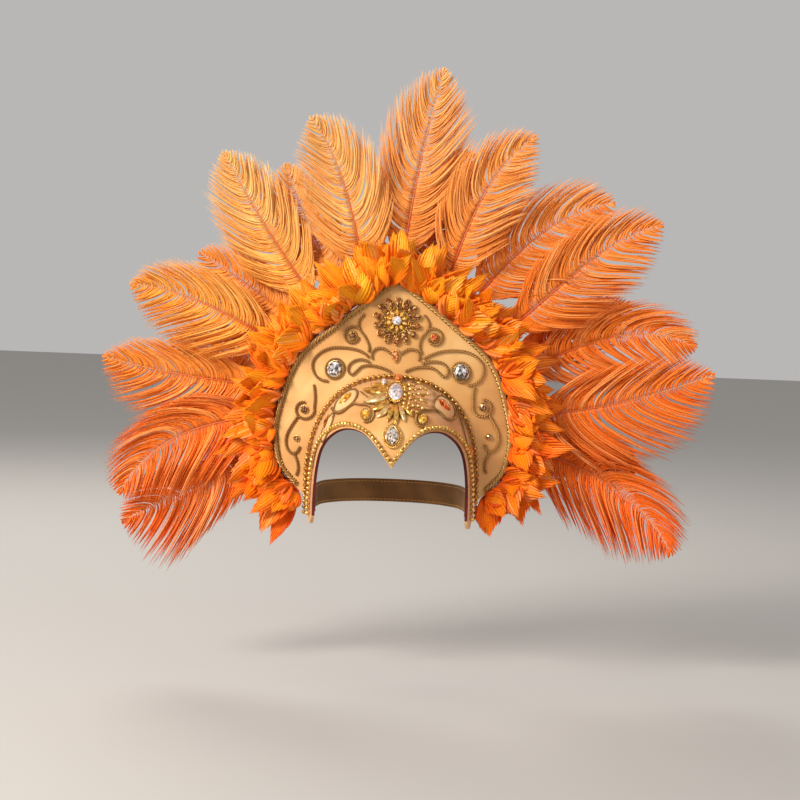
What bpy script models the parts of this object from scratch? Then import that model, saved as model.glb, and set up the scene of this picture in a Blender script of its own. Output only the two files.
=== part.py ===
"""Carnival feather headdress: a gold satin crown with scrollwork and stones, a ruff and a fan of plumes.

Metres, +Z up. The wearer looks along -Y. The origin is the middle of the head opening, level with the
ends of the two ear tabs.
"""

import math
import random
from collections import namedtuple

import bmesh
import bpy
from mathutils import Matrix, Vector

GAP = 0.0003  # clearance between pieces that lie on each other
PLAQUE_SEAT = 0.0005  # height of an ornament's floor over the plaque
CAP_SEAT = 0.0008  # the same over the cap, which curves more

# The arch is the line over the head, from ear to ear, where the brow cap stands on the plaque.
ARCH_HALF_WIDTH = 0.083
ARCH_SPRING = 0.045  # height where the straight legs end and the curve starts
ARCH_RISE = 0.101
ARCH_POWER = 2.3  # 2 would be an ellipse, more is squarer
ARCH_SHARE = 0.8  # share of the arch parameter that its curved part takes

# The plaque is the upright plate behind the arch.
PLAQUE_THICKNESS = 0.004
PLAQUE_LEAN = 0.10  # metres back for each metre up
PLAQUE_BEND_RADIUS = 0.45  # its wings are swept back
PLAQUE_FOOT = 0.026
PLAQUE_EDGE = (  # x, z of the right half, from the point down to the ear
    (0.000, 0.2470),
    (0.030, 0.2260),
    (0.062, 0.2005),
    (0.0925, 0.1740),
    (0.1085, 0.1460),
    (0.119, 0.1080),
    (0.1215, 0.0850),
    (0.116, 0.0570),
    (0.105, 0.0420),
    (0.088, 0.0270),
)

# The brow cap bulges forwards from the arch over the top of the head and the forehead.
CAP_THICKNESS = 0.003
CAP_REAR_GAP = 0.0005
BROW_DEPTH = 0.097
DOME_POWER = 4.5
BROW_EDGE = (  # x, z of the right half of its lower edge, from the peak to the ear tab
    (0.000, 0.0660),
    (0.009, 0.0780),
    (0.0185, 0.0900),
    (0.0275, 0.0975),
    (0.0385, 0.1010),
    (0.051, 0.0990),
    (0.063, 0.0900),
    (0.0710, 0.0770),
    (0.0750, 0.0600),
    (0.0770, 0.0400),
    (0.0775, 0.0220),
)
TAB_ROUNDING = 0.009

HEAD_BAND_WIDTH = 0.024
HEAD_BAND_THICKNESS = 0.002
HEAD_BAND_LOW = 0.012
HEAD_BAND_PLAN = (  # x, y of the right half, from inside the ear tab round to the nape
    (0.0752, -0.012),
    (0.0766, -0.005),
    (0.0772, 0.005),
    (0.0768, 0.026),
    (0.0705, 0.060),
    (0.0520, 0.085),
    (0.0280, 0.098),
    (0.0000, 0.102),
)

BACKING_THICKNESS = 0.003
QUILL_RADIUS = 0.0018
QUILL_CLEARANCE = 0.0005  # the quills are straight between their stations and the plates curve

BRAID_RADIUS = 0.0026
ARCH_BEAD_RADIUS = 0.0022
BROW_BEAD_RADIUS = 0.0023
SCROLL_RADIUS = 0.0013
TUBE_SIDES = 6

# Scrollwork of the right half, as x, z points on the front view of the surface it lies on.
HEART_LOBE = ((0.0045, 0.1715), (0.0130, 0.1765), (0.0205, 0.1755), (0.0240, 0.1705), (0.0232, 0.1652))
LEAF_LOOP = (
    (0.0262, 0.1625),
    (0.0350, 0.1648),
    (0.0440, 0.1635),
    (0.0495, 0.1585),
    (0.0500, 0.1525),
    (0.0460, 0.1493),
    (0.0420, 0.1528),
    (0.0350, 0.1582),
    (0.0240, 0.1590),
    (0.0140, 0.1567),
    (0.0068, 0.1536),
)
CREST_STEM = (
    (0.0265, 0.1725),
    (0.0255, 0.1795),
    (0.0285, 0.1880),
    (0.0345, 0.1960),
    (0.0350, 0.2040),
    (0.0300, 0.2110),
)
CREST_CURL_START = ((0.0332, 0.1943), (0.0370, 0.1975))
WING_SWEEP = (
    (0.0275, 0.1672),
    (0.0340, 0.1715),
    (0.0440, 0.1750),
    (0.0570, 0.1762),
    (0.0690, 0.1750),
    (0.0790, 0.1700),
    (0.0853, 0.1625),
    (0.0862, 0.1545),
    (0.0825, 0.1466),
    (0.0760, 0.1425),
    (0.0700, 0.1420),
)
SIDE_STEM = ((0.0815, 0.1390), (0.0805, 0.1360), (0.0795, 0.1280), (0.0800, 0.1190))
LOWER_CURL = (  # goes on from the bottom of the curl above
    (0.1015, 0.1005),
    (0.1062, 0.0915),
    (0.1075, 0.0835),
    (0.1055, 0.0760),
    (0.1005, 0.0715),
    (0.0955, 0.0735),
    (0.0930, 0.0790),
)
FOOT_HOOK = ((0.0992, 0.0722), (0.0955, 0.0650), (0.0940, 0.0575), (0.0947, 0.0520), (0.0960, 0.0498))
BROW_SWEEP = (
    (0.0615, 0.1135),
    (0.0565, 0.1105),
    (0.0500, 0.1125),
    (0.0445, 0.1175),
    (0.0390, 0.1208),
    (0.0330, 0.1205),
)

# The work is done by hand, so each side's motifs lie off the mirrored place: the point where a motif starts,
# then how far it lies outwards and upwards on the left and on the right.
MOTIFS = {
    "crest": ((0.0265, 0.1700), (0.0030, -0.0005), (-0.0030, 0.0005)),
    "wing": ((0.0262, 0.1650), (-0.0030, -0.0005), (0.0030, 0.0005)),
    "side": ((0.0818, 0.1450), (0.0000, -0.0045), (0.0000, 0.0045)),
    "brow": ((0.0000, 0.0000), (-0.0010, 0.0012), (0.0010, -0.0012)),
    "temple": ((0.0000, 0.0000), (-0.0060, 0.0125), (0.0060, -0.0125)),
}
SHIFT_FADE = 0.015  # the shift grows from nothing over this distance from the motif's start

# Stones of the right half: outline, x, z, length, width, turn from upright in degrees, facets round, motif.
STONES = {
    "crystal": ("round", 0.0636, 0.1546, 0.0195, 0.0175, -25.0, 10, "wing"),
    "crest_stone": ("round", 0.0412, 0.1885, 0.0082, 0.0082, 0.0, 8, "crest"),
    "side_stone": ("round", 0.0900, 0.1165, 0.0090, 0.0090, 0.0, 8, "side"),
    "foot_stone": ("round", 0.0968, 0.0868, 0.0064, 0.0064, 0.0, 8, "side"),
    "brow_marquise": ("marquise", 0.0483, 0.1238, 0.0175, 0.0066, -47.0, 10, "brow"),
    "brow_round": ("round", 0.0275, 0.1130, 0.0088, 0.0084, 0.0, 8, "brow"),
    "temple_marquise": ("marquise", 0.0710, 0.0890, 0.0160, 0.0034, -12.0, 8, "temple"),
}
CREST_CURL_RADII = (0.0092, 0.0062)
SIDE_CURL_RADII = (0.0108, 0.0072)
BROW_CURL_RADII = (0.0080, 0.0070)

ROSETTE_PETALS = 14
ROSETTE_CENTRE = (0.0, 0.2045)
BROOCH_CENTRE = (0.0, 0.1335)

# The fan: every plume aims at one centre, and its quill lies between the plaque and the backing.
FAN_CENTRE = (0.0, 0.126)
ROOT_RADIUS = 0.092
FAN_SLOPE = 0.12  # metres back for each metre outwards
SPREAD_START = 0.134
SPREAD_LENGTH = 0.034
# Each plume: its aim in degrees clockwise from upright, how far the shaft leans and its tip turns from that,
# reach of the tip from the fan centre, width, share of the vane where it is at full width, how far the tip
# nods forwards, depth of its layer, droop of the lower barbs as a share of their way out, locks a side.
Plume = namedtuple("Plume", "aim lean turn reach width fill nod layer droop locks")
PLUMES = {
    "plume_01": Plume(-116.6, 1.0, -1.0, 0.306, 0.086, 0.85, 0.020, 0.002, 0.80, 7),
    "plume_02": Plume(-99.9, 1.9, -13.3, 0.295, 0.090, 0.36, 0.028, -0.010, 0.40, 7),
    "plume_03": Plume(-87.5, 1.5, 2.0, 0.301, 0.080, 0.36, 0.020, 0.002, 0.20, 7),
    "plume_04": Plume(-67.7, 5.8, -6.8, 0.291, 0.084, 0.36, 0.028, -0.010, 0.20, 7),
    "plume_05": Plume(-42.0, 5.1, 0.1, 0.305, 0.088, 0.36, 0.020, 0.002, 0.20, 7),
    "plume_06": Plume(-15.9, 3.5, -6.3, 0.296, 0.094, 0.36, 0.028, -0.010, 0.15, 7),
    "plume_07": Plume(0.4, 6.5, -0.3, 0.338, 0.098, 0.36, 0.022, 0.002, 0.15, 7),
    "plume_08": Plume(23.4, -6.5, 9.5, 0.301, 0.086, 0.36, 0.028, -0.010, 0.20, 7),
    "plume_09": Plume(37.0, 0.9, 8.6, 0.300, 0.096, 0.36, 0.020, 0.002, 0.25, 7),
    "plume_10": Plume(59.5, -13.9, 9.3, 0.324, 0.088, 0.36, 0.028, -0.010, 0.20, 7),
    "plume_11": Plume(78.9, -16.7, 16.5, 0.313, 0.084, 0.36, 0.020, 0.002, 0.20, 7),
    "plume_12": Plume(97.7, -14.6, 0.3, 0.326, 0.096, 0.36, 0.028, -0.010, 0.40, 7),
    "plume_13": Plume(108.0, -0.9, 10.5, 0.327, 0.092, 0.36, 0.020, 0.002, 0.40, 7),
    "back_plume_1": Plume(-77.0, 0.0, -1.0, 0.238, 0.070, 0.36, 0.010, 0.014, 0.20, 5),
    "back_plume_2": Plume(-54.5, 0.0, -1.0, 0.250, 0.070, 0.36, 0.010, 0.014, 0.20, 5),
    "back_plume_3": Plume(-29.0, 0.0, 2.0, 0.264, 0.074, 0.36, 0.012, 0.014, 0.15, 5),
    "back_plume_4": Plume(11.5, 0.0, 4.0, 0.264, 0.074, 0.36, 0.012, 0.014, 0.15, 5),
    "back_plume_5": Plume(68.0, 0.0, -2.0, 0.262, 0.064, 0.50, 0.010, 0.018, 0.20, 5),
    "back_plume_6": Plume(102.8, 0.0, 2.0, 0.262, 0.066, 0.50, 0.010, 0.018, 0.40, 5),
}
NOD_START = 0.40  # share of the shaft where the tip begins to nod forwards
NOD_POWER = 2.4
BARE_SHARE = 0.24  # share of the shaft at the root that carries no barbs
BARB_SWEEP = (58.0, 34.0)  # degrees between shaft and barb, at the foot of the vane and at its tip
LOCK_ROOT = 0.62  # share of a barb where its lock is widest
SHAFT_SHARE = 0.93  # share of the reach where the last lock begins
LOCK_THICKNESS = 0.0024
LOCK_FILL = 0.42  # half a lock's width as a share of the space for it

# The ruff: short curled feathers on a band round the plaque's edge.
RUFF_BAND_WIDTH = 0.006
RUFF_SECTIONS = (  # name, where it starts and ends on the edge, -1 and 1 being the two ears, and its locks
    ("ruff_left_low", -0.985, -0.620, 6),
    ("ruff_left_high", -0.610, -0.220, 7),
    ("ruff_top", -0.210, 0.210, 8),
    ("ruff_right_high", 0.220, 0.610, 7),
    ("ruff_right_low", 0.620, 0.985, 6),
)
RUFF_LOCK_LENGTH = 0.040
RUFF_FRONT_LOCK_LENGTH = 0.030

COLOURS = {  # base colour, roughness, metallic
    "gold_satin": ((0.80, 0.50, 0.20, 1), 0.40, 0.35),
    "gold_bead": ((0.62, 0.38, 0.10, 1), 0.25, 0.95),
    "clear_stone": ((0.75, 0.77, 0.80, 1), 0.05, 0.0),
    "amber_stone": ((0.60, 0.16, 0.02, 1), 0.08, 0.0),
    "plume_orange": ((0.90, 0.22, 0.02, 1), 0.60, 0.0),
    "ruff_orange": ((0.95, 0.32, 0.02, 1), 0.55, 0.0),
    "plain_band": ((0.45, 0.28, 0.10, 1), 0.70, 0.0),
}


def material(name):
    found = bpy.data.materials.get(name)
    if found:
        return found
    colour, roughness, metallic = COLOURS[name]
    made = bpy.data.materials.new(name)
    made.use_nodes = True
    made.diffuse_color = colour
    shader = made.node_tree.nodes["Principled BSDF"]
    shader.inputs["Base Color"].default_value = colour
    shader.inputs["Roughness"].default_value = roughness
    shader.inputs["Metallic"].default_value = metallic
    return made


def add_object(name, data, material_name):
    obj = bpy.data.objects.new(name, data)
    data.materials.append(material(material_name))
    bpy.context.scene.collection.objects.link(obj)
    return obj


def mesh_object(name, vertices, faces, material_name):
    mesh = bpy.data.meshes.new(name)
    mesh.from_pydata(vertices, [], faces)
    editor = bmesh.new()
    editor.from_mesh(mesh)
    bmesh.ops.recalc_face_normals(editor, faces=editor.faces)
    editor.to_mesh(mesh)
    editor.free()
    return add_object(name, mesh, material_name)


def smooth_line(points, count):
    """count points, evenly spaced, on a smooth curve through the given points of any dimension."""
    given = [Vector(p) for p in points]
    padded = [2 * given[0] - given[1], *given, 2 * given[-1] - given[-2]]
    fine = []
    steps = 24
    for a, b, c, d in zip(padded, padded[1:], padded[2:], padded[3:]):
        for i in range(steps):
            s = i / steps
            fine.append(
                0.5
                * (
                    2 * b
                    + (c - a) * s
                    + (2 * a - 5 * b + 4 * c - d) * s**2
                    + (3 * b - a - 3 * c + d) * s**3
                )
            )
    fine.append(given[-1])
    return evenly(fine, [(q - p).length for p, q in zip(fine, fine[1:])], count)


def evenly(line, steps, count):
    """count points of a line, spaced so that each gap holds an equal share of the steps."""
    total, picked, done, i = sum(steps), [line[0]], 0.0, 0
    for k in range(1, count - 1):
        wanted = total * k / (count - 1)
        while done + steps[i] < wanted:
            done += steps[i]
            i += 1
        picked.append(line[i].lerp(line[i + 1], (wanted - done) / steps[i]))
    return [*picked, line[-1]]


def mirrored_line(half):
    """A whole line, left to right, from the right half of a symmetric one whose first point has x = 0."""
    left = [Vector((-p[0], *p[1:])) for p in reversed(half[1:])]
    return [*left, *half]


def plaque_front(x, z):
    """Depth of the plaque's front face."""
    return PLAQUE_LEAN * (z - ARCH_SPRING) + x * x / (2 * PLAQUE_BEND_RADIUS)


def dome_radius(x, z):
    """1 on the arch, less inside it."""
    across = abs(x) / ARCH_HALF_WIDTH
    up = max(z - ARCH_SPRING, 0.0) / ARCH_RISE
    return (across**ARCH_POWER + up**ARCH_POWER) ** (1 / ARCH_POWER)


def brow_front(x, z):
    """Depth of the brow cap's outer face."""
    radius = min(dome_radius(x, z), 1.0)
    return plaque_front(x, z) - CAP_REAR_GAP - BROW_DEPTH * (1 - radius**DOME_POWER)


def surface_normal(surface, x, z):
    step = 0.0004
    slope_x = (surface(x + step, z) - surface(x - step, z)) / (2 * step)
    slope_z = (surface(x, z + step) - surface(x, z - step)) / (2 * step)
    return Vector((slope_x, -1.0, slope_z)).normalized()


def on_surface(surface, x, z, lift):
    """The point that far above the surface, over its point x, z of the front view."""
    return Vector((x, surface(x, z), z)) + surface_normal(surface, x, z) * lift


def from_centre(x, z, distance):
    """The point x, z moved that far away from the fan centre."""
    out = Vector((x - FAN_CENTRE[0], z - FAN_CENTRE[1])).normalized()
    return x + out[0] * distance, z + out[1] * distance


def arch_point(t, grow):
    """x, z on the arch widened by grow: t is 0 at its top, -1 and 1 at the feet of its legs."""
    curved = min(abs(t) / ARCH_SHARE, 1.0) * math.pi / 2
    power = 2 / ARCH_POWER
    x = (ARCH_HALF_WIDTH + grow) * math.sin(curved) ** power
    z = ARCH_SPRING + (ARCH_RISE + grow) * math.cos(curved) ** power
    if abs(t) > ARCH_SHARE:
        z = ARCH_SPRING - (abs(t) - ARCH_SHARE) / (1 - ARCH_SHARE) * (ARCH_SPRING - PLAQUE_FOOT)
    return math.copysign(x, t), z


def walled(name, front, back, material_name):
    """A closed wall between two grids of points that have the same rows and columns."""
    rows, columns = len(front), len(front[0])
    behind = rows * columns
    faces = []
    for i in range(rows - 1):
        for j in range(columns - 1):
            a, b = i * columns + j, (i + 1) * columns + j
            faces.append((a, a + 1, b + 1, b))
            faces.append((behind + a, behind + b, behind + b + 1, behind + a + 1))
    rim = list(range(columns))
    rim += [i * columns + columns - 1 for i in range(1, rows)]
    rim += [(rows - 1) * columns + j for j in range(columns - 2, -1, -1)]
    rim += [i * columns for i in range(rows - 2, 0, -1)]
    for a, b in zip(rim, [*rim[1:], rim[0]]):
        faces.append((a, b, behind + b, behind + a))
    return mesh_object(name, [p for row in [*front, *back] for p in row], faces, material_name)


def make_plate(name, depth, inner_grow, edge_inset, cut, thickness, material_name):
    """A plate in the plaque's form, between the widened arch and the inset edge, that far behind its face.

    cut is how many columns each foot is shortened by."""
    columns, across = 16, 2
    edge = mirrored_line(smooth_line(PLAQUE_EDGE, columns + 1))
    front = []
    for j in range(across + 1):
        share = j / across
        row = []
        for i in range(cut, 2 * columns + 1 - cut):
            edge_x, edge_z = edge[i]
            inner_x, inner_z = arch_point(i / columns - 1, inner_grow)
            outer_x, outer_z = from_centre(edge_x, edge_z, -edge_inset)
            x = inner_x + (outer_x - inner_x) * share
            z = inner_z + (outer_z - inner_z) * share
            row.append(Vector((x, plaque_front(x, z) + depth, z)))
        front.append(row)
    back = [[p + Vector((0, thickness, 0)) for p in row] for row in front]
    return walled(name, front, back, material_name)


def brow_columns(count):
    """The x, z points of the lower edge from which the cap's columns rise, peak to tab."""
    fine = smooth_line(BROW_EDGE, 240)
    arch = []
    for x, z in fine:
        radius = dome_radius(x, z)
        arch.append(Vector((x / radius, ARCH_SPRING + max(z - ARCH_SPRING, 0) / radius)))
    steps = [
        (fine[i + 1] - fine[i]).length + 0.6 * (arch[i + 1] - arch[i]).length
        for i in range(len(fine) - 1)
    ]
    return evenly(fine, steps, count)


def make_brow_cap():
    columns, across = 14, 5
    edge = mirrored_line(brow_columns(columns))
    tab_x = edge[-1][0]
    ends = [Vector((-tab_x, 0.0)), *edge, Vector((tab_x, 0.0))]
    front, back = [], []
    for j in range(across + 1):
        share = (j / across) ** 1.3
        front_row, back_row = [], []
        for i, (edge_x, edge_z) in enumerate(ends):
            radius = dome_radius(edge_x, edge_z)
            grown = (1 - share * (1 - radius)) / radius
            x = edge_x * grown
            z = edge_z
            if edge_z > ARCH_SPRING:
                z = ARCH_SPRING + (edge_z - ARCH_SPRING) * grown
            if i in (0, len(ends) - 1):
                z = TAB_ROUNDING * (2 * j / across - 1) ** 2
            point = on_surface(brow_front, x, z, 0.0)
            inwards = -surface_normal(brow_front, x, z)
            inner = point + inwards * CAP_THICKNESS
            if j == 0:
                inner = point + Vector((inwards[0], 0.0, inwards[2])).normalized() * CAP_THICKNESS
                inner[1] = plaque_front(inner[0], inner[2]) - CAP_REAR_GAP
            front_row.append(point)
            back_row.append(inner)
        front.append(front_row)
        back.append(back_row)
    return walled("brow_cap", front, back, "gold_satin")


def make_head_band():
    """A plain strap round the back of the head, from inside one ear tab to inside the other."""
    half = smooth_line(HEAD_BAND_PLAN, 14)
    plan = [*half, *[Vector((-p[0], p[1])) for p in reversed(half[:-1])]]
    vertices, faces = [], []
    for i, point in enumerate(plan):
        ahead = plan[min(i + 1, len(plan) - 1)] - plan[max(i - 1, 0)]
        side = Vector((ahead[1], -ahead[0])).normalized() * (HEAD_BAND_THICKNESS / 2)
        low, high = HEAD_BAND_LOW, HEAD_BAND_LOW + HEAD_BAND_WIDTH
        for offset, z in ((side, low), (side, high), (-side, high), (-side, low)):
            vertices.append((point[0] + offset[0], point[1] + offset[1], z))
    for i in range(len(plan) - 1):
        for k in range(4):
            a, b = 4 * i + k, 4 * i + (k + 1) % 4
            faces.append((a, b, b + 4, a + 4))
    faces += [(3, 2, 1, 0), tuple(range(len(vertices) - 4, len(vertices)))]
    return mesh_object("head_band", vertices, faces, "plain_band")


def tube(name, points, radius, sides, material_name):
    """A tube along the points, with flat ends."""
    vertices, faces = [], []
    normal = Vector((0, -1, 0))
    for i, point in enumerate(points):
        ahead = (points[min(i + 1, len(points) - 1)] - points[max(i - 1, 0)]).normalized()
        normal = (normal - ahead * normal.dot(ahead)).normalized()
        side = ahead.cross(normal)
        for k in range(sides):
            turn = 2 * math.pi * k / sides
            vertices.append(point + (normal * math.cos(turn) + side * math.sin(turn)) * radius)
    for start in range(0, len(vertices) - sides, sides):
        for k in range(sides):
            n = (k + 1) % sides
            faces.append((start + k, start + n, start + sides + n, start + sides + k))
    faces.append(tuple(reversed(range(sides))))
    faces.append(tuple(range(len(vertices) - sides, len(vertices))))
    return mesh_object(name, vertices, faces, material_name)


def line_on(surface, path, radius):
    return [on_surface(surface, x, z, radius + GAP) for x, z in path]


def make_braid():
    half = smooth_line(PLAQUE_EDGE, 20)
    path = [from_centre(x, z, -BRAID_RADIUS - 0.0006) for x, z in mirrored_line(half)]
    points = line_on(plaque_front, path[1:-1], BRAID_RADIUS)
    return tube("plaque_edge_braid", points, BRAID_RADIUS, TUBE_SIDES, "gold_bead")


def make_arch_beads():
    """The string in the corner between cap and plaque, which runs on down the outside of each ear tab."""
    steps = 13
    lift = ARCH_BEAD_RADIUS + GAP
    half = [Vector(arch_point(i / steps, lift + 0.0005)) for i in range(steps + 1)]
    path = mirrored_line(half)
    points = line_on(plaque_front, path, ARCH_BEAD_RADIUS)
    tab_end = Vector((0, 0, TAB_ROUNDING - PLAQUE_FOOT))
    points = [points[0] + tab_end, *points, points[-1] + tab_end]
    return tube("arch_bead_string", points, ARCH_BEAD_RADIUS, TUBE_SIDES, "gold_bead")


def make_brow_beads():
    """The string along the lower edge of the cap and the inner edge of each ear tab."""
    inset = 0.0026
    half = []
    line = smooth_line(BROW_EDGE, 20)
    for i, point in enumerate(line):
        ahead = line[min(i + 1, len(line) - 1)] - line[max(i - 1, 0)]
        up = Vector((-ahead[1], ahead[0])).normalized()
        half.append(point + up * inset)
    half[0] = line[0] + Vector((0, 1.5 * inset))
    half.append(Vector((half[-1][0], TAB_ROUNDING + 0.001)))
    points = line_on(brow_front, mirrored_line(half), BROW_BEAD_RADIUS)
    return tube("brow_bead_string", points, BROW_BEAD_RADIUS, TUBE_SIDES, "gold_bead")


def curl(start, centre, radii, turns, turning):
    """x, z points that wind inwards round the centre from the side where start lies."""
    centre = Vector(centre)
    away = Vector(start[-1]) - centre
    angle = math.atan2(away[1], away[0])
    count = round(12 * turns)
    first, last = radii
    points = []
    for i in range(1, count + 1):
        share = i / count
        radius = first + (last - first) * share
        a = angle + turning * 2 * math.pi * turns * share
        points.append(centre + Vector((math.cos(a), math.sin(a))) * radius)
    return [Vector(p) for p in start] + points


def path_count(path, spacing):
    length = sum((Vector(q) - Vector(p)).length for p, q in zip(path, path[1:]))
    return max(4, round(length / spacing))


def placed(path, side, motif):
    """A path of the right half, put on one side with that side's shift."""
    start, left_shift, right_shift = MOTIFS[motif]
    sign, shift = (1, right_shift) if side == "right" else (-1, left_shift)
    points = []
    for x, z in path:
        share = min(math.dist((x, z), start) / SHIFT_FADE, 1.0)
        points.append(Vector((sign * (x + shift[0] * share), z + shift[1] * share)))
    return points


def scroll(name, surface, paths, side, motif, spacing=0.0070):
    """Gold cord laid on the surface along one path, or along several that are fused."""
    made = []
    for k, path in enumerate(paths):
        line = smooth_line(placed(path, side, motif), path_count(path, spacing))
        points = line_on(surface, line, SCROLL_RADIUS)
        made.append(tube(f"{name}_{side}_{k}", points, SCROLL_RADIUS, TUBE_SIDES, "gold_bead"))
    return fused(f"{name}_{side}", made)


def fused(name, pieces):
    """One body from pieces that overlap: all but the first stay as hidden helpers."""
    body = pieces[0]
    body.name = name
    for k, helper in enumerate(pieces[1:]):
        helper.hide_render = True
        helper.display_type = "WIRE"
        union = body.modifiers.new(f"join_{k}", "BOOLEAN")
        union.operation = "UNION"
        union.solver = "EXACT"
        union.object = helper
    return body


def relief(name, surface, centre, turn, outline, layers, floor_scales, material_name):
    """A closed ornament on a surface: outline gives x, z points round it, each layer a scale and a lift."""
    seat = CAP_SEAT if surface is brow_front else PLAQUE_SEAT
    turned = Matrix.Rotation(math.radians(turn), 2)
    ring_points = [turned @ Vector(p) for p in outline]
    count = len(ring_points)
    vertices, faces = [], []

    def add_ring(place_of):
        start = len(vertices)
        for k, point in enumerate(ring_points):
            scale, lift = place_of(k)
            vertices.append(
                on_surface(surface, centre[0] + point[0] * scale, centre[1] + point[1] * scale, lift)
            )
        return start

    floor = [add_ring(lambda k, s=s: (s, seat)) for s in floor_scales]
    top = [add_ring(layer) for layer in layers]
    for a, b in zip([*reversed(floor), *top], [*reversed(floor), *top][1:]):
        for k in range(count):
            n = (k + 1) % count
            faces.append((a + k, a + n, b + n, b + k))
    middle = len(vertices)
    vertices.append(on_surface(surface, *centre, seat))
    faces += [(middle, floor[-1] + (k + 1) % count, floor[-1] + k) for k in range(count)]
    faces.append(tuple(top[-1] + k for k in range(count)))
    return mesh_object(name, vertices, faces, material_name)


def stone_outline(form, length, width, facets):
    """x, z points round an upright stone."""
    points = []
    for k in range(facets):
        a = 2 * math.pi * k / facets
        x, z = math.sin(a), math.cos(a)
        if form == "marquise":
            x *= 0.55 + 0.45 * abs(math.sin(a)) if abs(z) < 0.999 else 1.0
        if form == "drop":
            x *= (1 - 0.45 * z) if z > 0 else 1.0
        points.append((x * width / 2, z * length / 2))
    return points


def make_stone(name, surface, centre, form, length, width, turn, facets, material_name):
    """A cut stone with its table, in a low metal collar."""
    rise = 0.16 * width + 0.0012
    layers = [
        lambda k: (1.0, 0.0014),
        lambda k: (0.84, 0.0016),
        lambda k: (0.50, 0.0016 + rise),
    ]
    outline = stone_outline(form, length, width, facets)
    return relief(name, surface, centre, turn, outline, layers, (1.0,), material_name)


def make_rosette():
    """The flower at the top: drop stones in a ring round a raised middle stone."""
    count = 2 * ROSETTE_PETALS
    reach, valley = 0.0245, 0.0185
    outline = []
    for k in range(count):
        a = math.pi * k / ROSETTE_PETALS
        radius = valley if k % 2 else reach
        outline.append((radius * math.sin(a), radius * math.cos(a)))

    def petal_ring(petal, petal_lift, dip, dip_lift):
        return lambda k: (dip, dip_lift) if k % 2 else (petal, petal_lift)

    layers = [
        petal_ring(1.0, 0.0016, 1.0, 0.0012),
        petal_ring(0.82, 0.0044, 0.86, 0.0014),
        petal_ring(0.50, 0.0030, 0.62, 0.0016),
        petal_ring(0.34, 0.0052, 0.45, 0.0048),
        petal_ring(0.215, 0.0056, 0.285, 0.0056),
        petal_ring(0.125, 0.0085, 0.165, 0.0085),
    ]
    return relief(
        "rosette", plaque_front, ROSETTE_CENTRE, 0.0, outline, layers, (1.0,), "amber_stone"
    )


def make_brooch():
    """Gold leaves round a clear stone, which sits above their middle."""
    count = 16
    half_width, height_above, height_below, stone_radius = 0.032, 0.0105, 0.0235, 0.0072
    outline, stone_shares = [], []
    for k in range(count):
        a = 2 * math.pi * k / count
        reach = 0.82 if k % 2 else 1.0
        reach *= 1 - 0.20 * math.sin(2 * a) ** 2
        height = height_above if math.cos(a) > 0 else height_below
        point = Vector((half_width * reach * math.sin(a), height * reach * math.cos(a)))
        outline.append(point)
        stone_shares.append(min(stone_radius / point.length, 0.74))
    layers = [
        lambda k: (1.0, 0.0016),
        lambda k: (0.5 + 0.62 * stone_shares[k], 0.0026 if k % 2 else 0.0040),
        lambda k: (1.22 * stone_shares[k], 0.0036),
        lambda k: (stone_shares[k], 0.0048),
        lambda k: (0.55 * stone_shares[k], 0.0082),
    ]
    return relief(
        "brooch", brow_front, BROOCH_CENTRE, 0.0, outline, layers, (1.0, 0.66, 0.33), "gold_bead"
    )


def make_heart():
    """Two lobes of cord fused to the collar of the stone between them."""
    made = []
    for side in ("left", "right"):
        sign = 1 if side == "right" else -1
        line = smooth_line([(sign * x, z) for x, z in HEART_LOBE], 6)
        points = line_on(plaque_front, line, SCROLL_RADIUS)
        made.append(tube(f"heart_{side}", points, SCROLL_RADIUS, TUBE_SIDES, "gold_bead"))
    stone = make_stone(
        "heart_stone", plaque_front, (0.0, 0.1695), "drop", 0.0150, 0.0105, 0.0, 10, "amber_stone"
    )
    return fused("heart_motif", [stone, *made])


def make_ornaments():
    make_rosette()
    make_brooch()
    make_heart()
    make_stone("peak_stone", brow_front, (0.0, 0.0965), "drop", 0.0245, 0.0190, 0.0, 12, "clear_stone")
    for side in ("left", "right"):
        crest_start = curl(
            CREST_CURL_START, STONES["crest_stone"][1:3], CREST_CURL_RADII, 0.80, -1
        )
        scroll("crest_scroll", plaque_front, [CREST_STEM, crest_start], side, "crest")
        scroll("leaf_scroll", plaque_front, [LEAF_LOOP], side, "wing")
        scroll("wing_scroll", plaque_front, [WING_SWEEP], side, "wing")
        side_curl = curl(SIDE_STEM, STONES["side_stone"][1:3], SIDE_CURL_RADII, 0.80, 1)
        branch = [side_curl[len(SIDE_STEM) + 4], *LOWER_CURL]
        scroll("side_scroll", plaque_front, [side_curl, branch, FOOT_HOOK], side, "side")
        brow_curl = curl(BROW_SWEEP, STONES["brow_round"][1:3], BROW_CURL_RADII, 0.62, 1)
        scroll("brow_scroll", brow_front, [brow_curl], side, "brow", 0.0060)
        for name, (form, x, z, length, width, turn, facets, motif) in STONES.items():
            surface = brow_front if motif in ("brow", "temple") else plaque_front
            centre = placed([(x, z)], side, motif)[0]
            sign = 1 if side == "left" else -1
            stone_colour = "clear_stone" if name == "crystal" else "amber_stone"
            make_stone(
                f"{name}_{side}", surface, centre, form, length, width, sign * turn, facets, stone_colour
            )


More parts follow.
